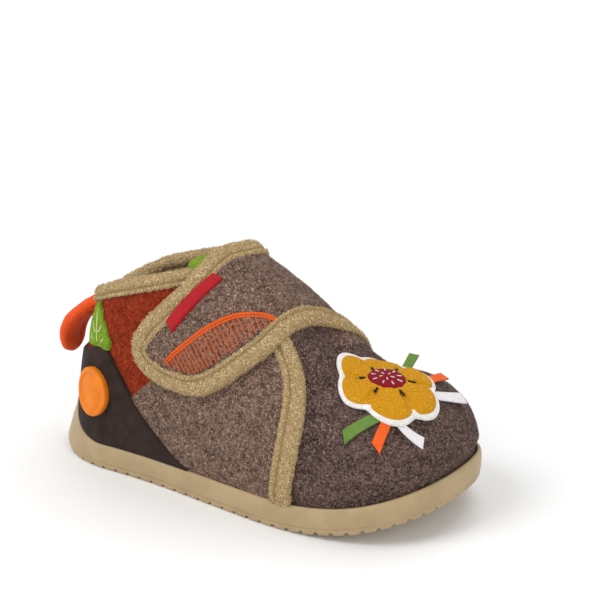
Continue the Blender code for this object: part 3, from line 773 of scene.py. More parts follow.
RUST = Tones((0.155, 0.014, 0.005), (0.29, 0.031, 0.010), (0.43, 0.075, 0.026), 0.4)
QUARTER = Tones((0.056, 0.032, 0.023), (0.19, 0.113, 0.081), (0.50, 0.362, 0.282), 0.5)
VAMP = Tones((0.032, 0.018, 0.016), (0.112, 0.068, 0.057), (0.36, 0.253, 0.208), 0.45)
LINING = Tones((0.20, 0.14, 0.075), (0.32, 0.235, 0.125), (0.46, 0.36, 0.21), 0.4)
GREEN = Tones((0.12, 0.20, 0.012), (0.19, 0.31, 0.02), (0.28, 0.42, 0.06), 0.3)
TOWEL = Tones((0.43, 0.307, 0.148), (0.62, 0.46, 0.245), (0.88, 0.688, 0.41))
WHITE = Tones((0.66, 0.63, 0.60), (0.80, 0.77, 0.74), (0.90, 0.88, 0.85), 0.3)


@dataclass(frozen=True)
class FeltFinish:
    """Heathered wool felt: blotches, curled fibres in three directions and fine specks."""

    name: str
    tones: tuple[Tones, ...]
    marks: tuple[tuple[Panel, float], ...] = ()
    relief: float = 0.35

    def tint(self, bench: Bench, tones: Tones, blotch: Wire, fibre: Wire, speck: Wire) -> Wire:
        """Colour of one felt from the shared patterns."""
        ground = bench.mix(blotch.ramp(0.39, 0.57), tones.dark, tones.middle)
        ground = bench.mix(speck.ramp(0.52, 0.36) * 0.85, ground, tones.dark)
        ground = bench.mix(speck.ramp(0.52, 0.66) * 0.7, ground, tones.pale)
        return bench.mix(fibre * tones.fibre, ground, tones.pale)

    def material(self) -> bpy.types.Material:
        """Felt material; each mark turns over to the next felt across its zero line."""
        bench = Bench(self.name)
        where = bench.place()
        curled = bench.bend(where, 1.6, 2.6)
        streaks = [bench.noise(bench.vector("MULTIPLY", curled, pull), 1.0, 2.0, 0.6)
                   for pull in ((2.3, 0.5, 0.7), (0.5, 0.7, 2.2), (0.6, 2.3, 0.5))]
        streak = streaks[0].top(streaks[1]).top(streaks[2])
        fibre = streak.ramp(0.60, 0.76)
        blotch = bench.noise(where, 2.2, 5.0, 0.75) * 0.72 + bench.noise(where, 7.0, 3.0, 0.6) * 0.28
        speck = bench.noise(curled, 0.7, 3.0, 0.65)
        colour = self.tint(bench, self.tones[0], blotch, fibre, speck)
        for tones, (mark, edge) in zip(self.tones[1:], self.marks):
            share = (bench.mark(mark.value) + (speck - 0.5) * 0.8).ramp(-edge, edge)
            colour = bench.mix(share, colour, self.tint(bench, tones, blotch, fibre, speck))
        height = streak * 0.55 + speck * 0.45
        return bench.finish(colour, 1.0, height, self.relief, Sheen_Weight=0.04, Specular_IOR_Level=0.06)


@dataclass(frozen=True)
class FibreFinish:
    """Loose wool fibres: each has one shade between the dark and the pale of its felt."""

    name: str
    tones: tuple[Tones, ...]
    marks: tuple[Panel, ...] = ()

    def material(self) -> bpy.types.Material:
        """Fibre material; the felts change over at the zero lines of the marks."""
        bench = Bench(self.name)
        shade = bench.mark("shade")
        colour = bench.mix(shade, self.tones[0].dark, self.tones[0].pale)
        for tones, mark in zip(self.tones[1:], self.marks):
            share = bench.mark(mark.value).ramp(-0.2, 0.2)
            colour = bench.mix(share, colour, bench.mix(shade, tones.dark, tones.pale))
        return bench.finish(colour, 0.9, Specular_IOR_Level=0.1)


@dataclass(frozen=True)
class TowellingFinish:
    """Looped towelling tape: round loops, painted shade in the gaps between them and in the stitched groove.
    """

    name: str
    loop: float = 0.62
    relief: float = 0.4
    pale: Colour = (0.76, 0.575, 0.325)
    middle: Colour = (0.65, 0.475, 0.248)
    # dark is the painted shade of the gaps between the loops and of the stitched groove.
    dark: Colour = (0.33, 0.222, 0.098)

    def material(self) -> bpy.types.Material:
        """Towelling material."""
        bench = Bench(self.name)
        where = bench.place()
        tuft = bench.cells(bench.bend(where, 0.9, 0.7), self.loop).ramp(0.62, 0.12)
        blotch = bench.noise(where, 2.6, 3.0, 0.6)
        # Painted shade: the gaps between the loops are mixed to the dark colour, the loops to the blotched
        # middle and pale.
        colour = bench.mix(tuft, self.dark, bench.mix(blotch.ramp(0.35, 0.65), self.middle, self.pale))
        # Painted shade: the stitched groove is darkened towards the dark colour.
        colour = bench.mix(bench.mark("groove") * 0.8, colour, self.dark)
        return bench.finish(colour, 0.95, tuft * 0.7 + blotch * 0.3, self.relief, Sheen_Weight=0.05,
                            Specular_IOR_Level=0.08)


@dataclass(frozen=True)
class RubberFinish:
    """Moulded rubber: even colour with faint clouds, fine grain and a soft gloss."""

    name: str
    colour: Colour
    shade: Colour
    roughness: float = 0.55
    tread: bool = False

    def material(self) -> bpy.types.Material:
        """Rubber material; under the sole the grain gives way to wavy grooves."""
        bench = Bench(self.name)
        where = bench.place()
        cloud = bench.noise(where, 9.0, 4.0, 0.6)
        grain = bench.noise(where, 0.35, 2.0)
        colour = bench.mix(cloud.ramp(0.3, 0.7), self.shade, self.colour)
        roughness = cloud * 0.16 + (self.roughness - 0.08)
        if not self.tread:
            return bench.finish(colour, roughness, grain, 0.03, Specular_IOR_Level=0.25)
        along, beside = (bench.node("ShaderNodeSeparateXYZ", {}, {0: where}, way) for way in "XY")
        wave = (along * 0.9 + (beside * 0.42).sine() * 1.6).sine()
        grooves = wave.size().ramp(0.12, 0.34)
        inside = bench.mark("tread")
        # Darker speckle towards the bottom of the sole wall and over the tread, mixed towards the shade
        # colour by the grain.
        colour = bench.mix(bench.mark("dirt") * grain.ramp(0.3, 0.7) * 0.5, colour, self.shade)
        height = grain * 0.02 + (grooves - 1.0) * inside + 1.0
        return bench.finish(colour, roughness, height, 0.9, Specular_IOR_Level=0.4)


@dataclass(frozen=True)
class SuedeFinish:
    """Brushed microfibre sheet: dark ground, faint brushed clouds and a very short nap."""

    name: str
    dark: Colour
    pale: Colour

    def material(self) -> bpy.types.Material:
        """Microfibre material."""
        bench = Bench(self.name)
        where = bench.place()
        cloud = bench.noise(where, 4.5, 4.0, 0.65)
        nap = bench.noise(where, 0.28, 3.0, 0.6)
        colour = bench.mix(cloud.ramp(0.3, 0.7) * 0.6 + nap.ramp(0.45, 0.75) * 0.35, self.dark, self.pale)
        return bench.finish(colour, 0.85, nap, 0.1, Sheen_Weight=0.03, Specular_IOR_Level=0.15)


@dataclass(frozen=True)
class ThreadFinish:
    """Twisted sewing thread: slanting plies along the thread with painted shade between them, and a slight
    satin.
    """

    name: str
    colour: Colour
    shade: Colour
    ply: float = 0.7

    def material(self) -> bpy.types.Material:
        """Thread material; the plies climb with the angle round the thread."""
        bench = Bench(self.name)
        climb = bench.mark("along") * (2.0 * math.pi / self.ply) + bench.mark("round") * 2.0
        ply = climb.sine() * 0.5 + 0.5
        # Painted shade: the grooves between the plies are mixed towards the shade colour.
        colour = bench.mix(ply.ramp(0.05, 0.7), self.shade, self.colour)
        return bench.finish(colour, 0.6, ply, 0.08, Specular_IOR_Level=0.25)


@dataclass(frozen=True)
class WovenFinish:
    """Woven ribbon, tape or cloth: fine ribs both ways over a plain colour, faint clouds of tone and painted
    shade in the troughs of the ribs.
    """

    name: str
    colour: Colour
    shade: Colour
    rib: float = 0.45
    roughness: float = 0.6

    def material(self) -> bpy.types.Material:
        """Woven material."""
        bench = Bench(self.name)
        where = bench.place()
        ribs = (bench.mark("along") * (2.0 * math.pi / self.rib)).sine() * 0.5
        warp = (bench.mark("across") * (2.0 * math.pi / self.rib)).sine() * 0.25
        cloud = bench.noise(where, 1.8, 3.0, 0.6)
        weave = ribs + warp + 0.5
        # Faint clouds of tone, and painted shade: the troughs of the ribs are mixed towards the shade colour.
        colour = bench.mix(cloud.ramp(0.3, 0.7) * 0.5 + weave.ramp(0.2, 0.9) * 0.5, self.shade, self.colour)
        return bench.finish(colour, self.roughness, weave, 0.07, Specular_IOR_Level=0.15)


@dataclass(frozen=True)
class YarnFinish:
    """Looped yarn of the patch: plump curls with painted shade in the gaps between them."""

    name: str
    colour: Colour
    shade: Colour
    loop: float = 0.9

    def material(self) -> bpy.types.Material:
        """Yarn material."""
        bench = Bench(self.name)
        where = bench.place()
        curl = bench.cells(bench.bend(where, 1.1, 1.6), self.loop).ramp(0.65, 0.1)
        hair = bench.noise(where, 0.3, 2.0)
        # Painted shade: the gaps between the curls are mixed towards the shade colour.
        colour = bench.mix(curl * 0.75 + hair.ramp(0.35, 0.65) * 0.25, self.shade, self.colour)
        return bench.finish(colour, 0.85, curl * 0.7 + hair * 0.3, 0.5, Sheen_Weight=0.05,
                            Specular_IOR_Level=0.1)


@dataclass
class Nap:
    """Loose fibres or loops that lie curled on a cloth face."""

    density: float = 1.4
    length: float = 1.8
    width: float = 0.115
    height: float = 0.28
    curl: float = 4.0
    points: int = 4
    clearance: float = 0.04
    taper: float = 3.2
    dark_power: float = 1.9
    bare_from: float = 0.3

    @staticmethod
    def read(grid: Array, u: Array, v: Array) -> Array:
        """Grid values at rows u and columns v, blended between the four neighbours."""
        i = np.clip(np.floor(u).astype(int), 0, grid.shape[0] - 2)
        j = np.clip(np.floor(v).astype(int), 0, grid.shape[1] - 2)
        a, b = u - i, v - j
        if grid.ndim == 3:
            a, b = a[..., None], b[..., None]
        return blend(blend(grid[i, j], grid[i, j + 1], b), blend(grid[i + 1, j], grid[i + 1, j + 1], b), a)

    def comb(self, name: str, face: Array, normal: Array, finish: FibreFinish, slot: Slot, seed: int,
             bare: Optional[Array] = None, **marks: Array) -> None:
        """Flat strips along curled paths over a grid: an arc of a random way, bowed up from the face.

        Args:
            name: Name of the piece.
            face: Grid of points.
            normal: Ways out of the face.
            finish: Finish of the fibres.
            slot: Material slot.
            seed: Seed of the random draws.
            bare: Grid of values that leaves out the fibres where it is high.
            **marks: Grids of values that each fibre takes at its third point.
        """
        draw = np.random.default_rng(seed)
        down = np.linalg.norm(np.diff(face, axis=0)[:, :-1], axis=-1)
        side = np.linalg.norm(np.diff(face, axis=1)[:-1], axis=-1)
        area = np.cumsum((down * side).ravel())
        count = int(area[-1] * self.density)
        cell = np.minimum(np.searchsorted(area, draw.random(count) * area[-1]), area.size - 1)
        if bare is not None:
            cell = cell[bare[:-1, :-1].ravel()[cell] < self.bare_from]
            count = len(cell)
        row, column = np.unravel_index(cell, down.shape)
        way, bend, size, rise, shade, u, v = draw.random((7, count, 1))
        t = np.linspace(-0.5, 0.5, self.points)
        turn = 2.0 * np.pi * way + (bend - 0.5) * self.curl * t
        reach = self.length * (0.5 + size) * t
        u = row[:, None] + u + reach * np.cos(turn) / np.maximum(down[row, column], 0.05)[:, None]
        v = column[:, None] + v + reach * np.sin(turn) / np.maximum(side[row, column], 0.05)[:, None]
        u, v = np.clip(u, 0.0, face.shape[0] - 1.001), np.clip(v, 0.0, face.shape[1] - 1.001)
        out = self.read(normal, u, v)
        high = self.clearance + self.height * rise * (1.0 - 4.0 * t * t)
        path = self.read(face, u, v) + high[..., None] * out
        beside = unit(np.cross(np.gradient(path, axis=1), out) + 1e-9)
        half = (0.5 * self.width * (1.0 - self.taper * t * t))[..., None] * beside
        held = {key: self.read(grid, u[:, 2:3], v[:, 2:3])[..., None] for key, grid in marks.items()}
        held["shade"] = shade[..., None] ** self.dark_power
        blank = Blank()
        blank.grid(np.stack([path - half, path + half], 2), **held)
        hand_in(blank, name, finish.material(), slot)


@dataclass
class Sole:
    """Cup sole of moulded rubber with its ring of lugs, and the footbed that lies in it."""

    lug_count: int = 70
    lug_depth: float = 1.3
    lug_reach: float = 8.0
    lug_columns: int = 14
    groove_half: tuple[float, float] = (0.35, 1.05)
    groove_run: float = 1.2
    tread_rings: int = 26
    tread_edge: tuple[float, float] = (-10.5, -9.4)
    tread_dirt: float = 0.6
    dirt_height: float = 4.0
    insole_margin: float = 3.6
    insole_columns: int = 240
    side_rows: Array = rows_of(
        (1.6, 0.0, 0.0), (1.0, 0.05, 0.0), (0.6, 0.3, 0.0), (0.4, 0.8, 0.0), (0.32, 1.6, 0.0),
        (0.32, 2.1, 0.0), (0.38, 2.35, 0.0), (0.38, 2.5, 0.0), (0.12, 2.7, 0.0), (0.04, 3.1, 0.0),
        (0.0, 0.8, 0.5), (0.0, -3.2, 1.0), (0.08, -1.9, 1.0), (0.2, -1.1, 1.0), (0.42, -0.5, 1.0),
        (0.75, -0.12, 1.0), (1.1, 0.0, 1.0), (1.45, -0.06, 1.0), (1.7, -0.3, 1.0), (1.8, -0.8, 1.0),
        (1.8, -3.0, 1.0))
    insole_rows: Array = rows_of(
        (0.0, 0.0), (0.5, 0.0), (0.97, 0.0), (1.0, 0.5), (1.0, 2.6), (0.985, 3.1), (0.95, 3.2),
        (0.85, 2.9), (0.7, 2.6), (0.5, 2.45), (0.3, 2.4), (0.0, 2.4))

    def notch(self, q: Array) -> Array:
        """Share of a groove between two lugs: 1 in its middle and 0 on the lugs."""
        pitch = LAST.loop / self.lug_count
        away = np.abs((q / pitch) % 1.0 - 0.5) * pitch
        return 1.0 - smooth(*self.groove_half, away)

    def build(self) -> None:
        """Builds the rubber sole and the footbed."""
        self.build_rubber()
        self.build_footbed()

    def build_rubber(self) -> None:
        """Rings of the outline moved in and up: tread, lugs, stepped side, rim, cup wall and floor."""
        count = self.lug_count * self.lug_columns
        q = np.arange(count) * LAST.loop / count
        x0, dx, dy = LAST.axis(q)
        radius, wall, notch = LAST.outline(q), LAST.wall(q), self.notch(q)
        edge = LAST.under(x0 + dx * radius)
        share = shares(self.tread_rings).reshape(-1, 1)
        r_tread = share * (radius - self.side_rows[0, 0])
        open_ = smooth(0.0, self.groove_run, r_tread - (radius - self.lug_reach - self.groove_run))
        z_tread = LAST.under(x0 + dx * r_tread) + self.lug_depth * notch * open_
        inset, height, part = (self.side_rows[:, c].reshape(-1, 1) for c in range(3))
        r_side = radius - inset - LAST.flare(q) * part
        low = LAST.under(x0 + dx * r_side) + np.maximum(height, self.lug_depth * notch)
        z_side = np.where(part > 0.0, edge + height + part * wall, low)
        r_floor = np.array((1.0, 0.7, 0.35, 0.0)).reshape(-1, 1) * LAST.cup(q)
        z_floor = LAST.under(x0 + dx * r_floor) + LAST.cup_floor
        r = np.concatenate([r_tread, r_side[1:], r_floor])
        z = np.concatenate([z_tread, z_side[1:], z_floor])
        below = np.arange(len(r)).reshape(-1, 1) < self.tread_rings
        tread = np.where(below, 1.0 - smooth(*self.tread_edge, r - radius), 0.0)
        # Darker speckle, strongest at the foot of the side wall and fading out up it, with a steady share
        # over the tread.
        dirt = np.where(below, self.tread_dirt, np.clip(1.0 - (z - edge) / self.dirt_height, 0.0, 1.0))
        blank = Blank()
        blank.grid(np.stack([x0 + dx * r, dy * r, z], -1), closed=True, tread=tread, dirt=dirt)
        finish = RubberFinish("sole_rubber_finish", (0.435, 0.318, 0.172), (0.375, 0.270, 0.142), 0.5, True)
        hand_in(blank, "sole_rubber", finish.material(), Slot.SOLE, "outsole")

    def build_footbed(self) -> None:
        """Rings of the outline inside the upper, cupped a little at the edge."""
        q = np.arange(self.insole_columns) * LAST.loop / self.insole_columns
        x0, dx, dy = LAST.axis(q)
        share, height = self.insole_rows.T[..., None]
        r = share * (LAST.cup(q) - self.insole_margin)
        x = x0 + dx * r
        z = LAST.under(x) + LAST.cup_floor + LAST.gap + height
        blank = Blank()
        blank.grid(np.stack([x, dy * r, z], -1), closed=True)
        finish = FeltFinish("footbed_finish", (LINING,), relief=0.2)
        hand_in(blank, "footbed_cloth", finish.material(), Slot.FOOTBED, "insole")


@dataclass
class Upper:
    """Felt shell of the shoe with its panels and lining, and the tongue in its throat."""

    felt: float = 2.8
    columns: int = 540
    rows: int = 104
    lining_rows: int = 22
    quarter_raise: float = 0.8
    rear_place: tuple[float, float] = (52.4, 30.2)
    rear_lean: tuple[float, float] = (1.1, 0.28)
    seam_depth: float = 0.25
    seam_width: float = 0.7
    bound_end: float = 88.0
    bound_fade: float = 10.0
    bound_drop: float = 3.0
    open_from: float = 0.05
    hairy_rows: tuple[int, int] = (2, 97)
    tongue_half: float = 13.0
    tongue_thick: float = 2.2
    tongue_room: float = 1.4
    tongue_bend: float = 71.0
    outer_edge: Array = rows_of(
        (0.0, 98.8), (22.6, 98.8), (24.8, 101.8), (28.4, 104.2), (35.0, 105.6), (45.0, 105.4), (55.0, 104.4),
        (61.2, 103.7), (80.0, 102.0))
    inner_edge: Array = rows_of(
        (0.0, 109.0), (15.0, 109.0), (28.0, 108.0), (42.0, 105.5), (61.2, 102.2), (80.0, 100.0))
    creases: Array = rows_of(
        (1.0, 110.5, 20.0, 112.5, 46.0, 3.4, 0.45), (1.0, 84.0, 55.0, 97.0, 62.0, 4.0, 0.4),
        (1.0, 116.0, 46.0, 136.0, 50.0, 5.0, 0.3), (-1.0, 97.0, 22.0, 95.0, 46.0, 4.2, 0.6),
        (-1.0, 70.0, 34.0, 77.0, 54.0, 4.5, 0.5), (-1.0, 114.5, 24.0, 115.5, 48.0, 3.6, 0.5))
    tongue_rows: Array = rows_of(
        (50.5, -1.4, 0.30), (52.5, -0.4, 0.68), (56.0, 0.7, 0.92), (62.0, 1.4, 1.0), (67.0, 1.0, 1.0),
        (71.0, 0.0, 1.0), (95.0, 0.0, 0.95))

    def along(self, q: Array) -> Array:
        """Distance from the heel centre forwards, as an x that runs on round the toe."""
        a = np.abs(LAST.fold(q))
        return LAST.heel_centre + a - LAST.heel_arc

    def vamp(self, q: Array, s: Array) -> Array:
        """Signed distance in front of the bound quarter edges."""
        outer = np.interp(s, self.outer_edge[:, 0], self.outer_edge[:, 1])
        inner = np.interp(s, self.inner_edge[:, 0], self.inner_edge[:, 1])
        return self.along(q) - np.where(LAST.fold(q) >= 0.0, outer, inner)

    def rear(self, q: Array, z: Array) -> Array:
        """Signed distance behind the seam that leans forward from the heel counter."""
        lean = np.where(LAST.fold(q) >= 0.0, *self.rear_lean)
        ahead = self.rear_place[0] + (z - self.rear_place[1]) * lean
        return (ahead - np.abs(LAST.fold(q))) / np.hypot(1.0, lean)

    def crease(self, q: Array, s: Array) -> Array:
        """Depth of the listed creases: soft troughs round short lines of the face."""
        x, side = self.along(q), np.where(LAST.fold(q) >= 0.0, 1.0, -1.0)
        total = np.zeros(np.broadcast(q, s).shape)
        for on, x0, s0, x1, s1, width, depth in self.creases:
            way = np.array((x1 - x0, s1 - s0))
            share = np.clip(((x - x0) * way[0] + (s - s0) * way[1]) / dot(way, way), 0.0, 1.0)
            away = np.hypot(x - x0 - share * way[0], s - s0 - share * way[1])
            total += np.where(side == on, depth * np.exp(-(away / width) ** 2), 0.0)
        return total

    def build(self) -> None:
        """Builds the shell and the tongue."""
        self.build_shell()
        self.build_tongue()

    def build_shell(self) -> None:
        """Face of the last from collar to cup, moved out by panels and in by creases, with its lining."""
        q = -LAST.half_loop + np.arange(self.columns) * LAST.loop / self.columns
        start, end = LAST.top_edge(q), LAST.girth(q)
        bound = np.clip((self.bound_end - np.abs(q)) / self.bound_fade, 0.0, 1.0)
        start = start + np.where(start > self.open_from, self.bound_drop * bound, 0.0)
        outer, normal, s = self.face(q, start, end, self.rows)
        vamp, rear = self.vamp(q + 0.0 * s, s), self.rear(q + 0.0 * s, outer[..., 2])
        below = smooth(2.0, 7.0, s - start)
        panel = self.quarter_raise * smooth(0.9, -0.9, vamp) * smooth(0.5, -0.5, rear) * below
        seam = self.seam_depth * np.exp(-(rear / self.seam_width) ** 2) * smooth(0.0, -2.0, vamp)
        moved = (panel - seam - self.crease(q + 0.0 * s, s) + felt_lumps(outer)) * smooth(0.0, 4.0, s)
        shell = outer + moved[..., None] * normal
        inner, in_normal, _ = self.face(q, start, end - 1.0, self.lining_rows)
        blank = Blank()
        top = blank.grid(shell, closed=True, vamp=vamp, rear=rear, lining=np.array(-3.0))
        under = blank.grid(inner - self.felt * in_normal, closed=True, flip=True, lining=np.array(3.0))
        blank.weave(np.stack([top[-1], under[-1]]), closed=True)
        open_ = (start > self.open_from) & (np.roll(start, -1) > self.open_from)
        after = np.arange(1, len(q) + 1) % len(q)
        rim = np.stack([top[0], top[0][after], under[0][after], under[0]], -1)
        blank.faces.append(rim[open_])
        finish = FeltFinish("upper_felt_finish", (QUARTER, VAMP, RUST, LINING),
                            ((Panel.VAMP, 0.5), (Panel.REAR, 0.5), (Panel.LINING, 1.0)))
        hand_in(blank, "upper_felt", finish.material(), Slot.FELT, "upper")
        fibres = FibreFinish("upper_fibres_finish", (QUARTER, VAMP, RUST), (Panel.VAMP, Panel.REAR))
        hairy = slice(*self.hairy_rows)
        Nap().comb("upper_fibres", shell[hairy], normal[hairy], fibres, Slot.FELT, seed=5, vamp=vamp[hairy],
                   rear=rear[hairy])

    def face(self, q: Array, start: Array, end: Array, rows: int) -> tuple[Array, Array, Array]:
        """Grid of the last's face with its normals and girths, one normal at the toe's pole."""
        share = shares(rows).reshape(-1, 1)
        s = start + (end - start) * share
        place = q + 0.0 * s
        points = LAST.skin(place, s)
        held = np.maximum(s, 0.3)
        normal = LAST.lift(LAST.upright, place, -held, 1.0) - LAST.skin(place, held)
        toe = np.abs(place) >= LAST.heel_arc + LAST.side
        pole = LAST.toe_centre - 0.7
        crest = LAST.lift(LAST.across, 0.0, pole, 1.0) - LAST.across(0.0, pole)
        on_crest = LAST.lift(LAST.upright, place[:1], 0.0 * place[:1], 1.0) - LAST.skin(place[:1], 0.0)
        normal[:1] = np.where((start < self.open_from)[None, :, None], on_crest, normal[:1])
        away = np.where(toe, smooth(0.0, 6.0, s), 1.0)[..., None]
        return points, unit(blend(crest, normal, away)), s

    def build_tongue(self) -> None:
        """Strip of the last's face inside the throat, its tip carried straight on past the bend."""
        rows = self.tongue_rows
        x = (rows[0, 0] + (rows[-1, 0] - rows[0, 0]) * shares(70) ** 1.15).reshape(-1, 1)
        across = np.linspace(-1.0, 1.0, 49)
        s = across * self.tongue_half * curve(rows, 2, x)
        held = np.broadcast_to(np.maximum(x, self.tongue_bend), s.shape)
        behind = np.broadcast_to(np.minimum(x - self.tongue_bend, 0.0), s.shape)
        rise = np.broadcast_to(curve(rows, 1, x), s.shape)
        move = np.stack([behind, 0.0 * behind, rise], -1)
        depth = self.felt + self.tongue_room
        edge = np.sqrt(1.0 - np.abs(across) ** 8) * np.sqrt(np.clip((x - rows[0, 0]) / 1.4, 0.0, 1.0))
        half = 0.5 * self.tongue_thick * np.maximum(edge, 0.04)
        middle = -depth - 0.5 * self.tongue_thick
        lump = 0.12 * FELT_LUMPS.at(np.stack([x + 0.0 * s, s, 0.0 * s], -1), 3.0)
        low = LAST.lift(LAST.across, s, held, middle - half) + move
        high = LAST.lift(LAST.across, s, held, middle + half + lump * edge) + move
        blank = Blank()
        blank.sheet(low, high)
        finish = FeltFinish("tongue_felt_finish", (GREEN,))
        hand_in(blank, "tongue_felt", finish.material(), Slot.TONGUE, "tongue")


@dataclass
class Tape:
    """Towelling tape folded over an edge: its section and its stitched groove."""

    loop: float = 0.75
    tuft: float = 0.2
    stitch: float = 1.9
    stitch_pitch: float = 2.8
    stitch_sink: float = 0.28
    stitch_points: int = 7
    thread: float = 0.27
    pile: Nap = field(default_factory=lambda: Nap(density=2.3, length=1.1, width=0.2, height=0.5, curl=6.0,
                                                  points=5))

    def section(self, rows: Array, count: int) -> tuple[Array, Array, Array]:
        """Closed section as a curve through rows of two coordinates and a groove share.

        Args:
            rows: First coordinate, second coordinate and groove share.
            count: Points round the section.

        Returns:
            The two coordinates and the groove share.
        """
        run = np.concatenate([[0.0], np.cumsum(np.hypot(np.diff(rows[:, 0]), np.diff(rows[:, 1] * 2.5)))])
        t = np.linspace(0.0, run[-1], count)
        keyed = np.column_stack([run, rows])
        return curve(keyed, 1, t), curve(keyed, 2, t), np.clip(curve(keyed, 3, t), 0.0, 1.0)

    def fluff(self, points: Array) -> Array:
        """Rings pushed out by the noise of the towelling loops."""
        noise = self.tuft * LOOPS.at(points, self.loop) + 0.6 * self.tuft * LOOPS.at(points, 2.4)
        return points + noise[..., None] * normals_of(points, closed=True)

    def sew(self, name: str, rings: Array, groove: Array, seed: int, node: str) -> None:
        """Makes the tape and its loops.

        Args:
            name: Name of the piece.
            rings: Sections along the tape.
            groove: Groove share round the section, where no loops stand.
            seed: Seed of the loops' random draws.
            node: Solid that the tape stands for.
        """
        blank = Blank()
        rings = self.fluff(rings)
        blank.tube(rings, groove=groove)
        hand_in(blank, name, TowellingFinish(name + "_finish").material(), Slot.TOWELLING, node)
        finish = FibreFinish(name + "_loops_finish", (TOWEL,))
        self.pile.comb(name + "_loops", rings, normals_of(rings, closed=True), finish, Slot.TOWELLING, seed,
                       np.broadcast_to(groove, rings.shape[:2]))

    def stitches(self, name: str, line: Callable[[Array, Number], Array], length: float) -> None:
        """Row of short stitches in the groove.

        Args:
            name: Name of the piece.
            line: Points by share of the groove's line and way out of the cloth.
            length: Length of the line.
        """
        count = int(length / self.stitch_pitch)
        middle = (np.arange(count).reshape(-1, 1) + 0.5) / count
        way = np.linspace(-1.0, 1.0, self.stitch_points)
        share = middle + 0.5 * way * self.stitch / length
        blank = Blank()
        blank.threads(partial(line, share), -self.stitch_sink * way ** 4, self.thread, flat=1.0)
        finish = ThreadFinish(name + "_finish", (0.38, 0.275, 0.125), (0.22, 0.15, 0.065))
        hand_in(blank, name, finish.material(), Slot.TOWELLING)


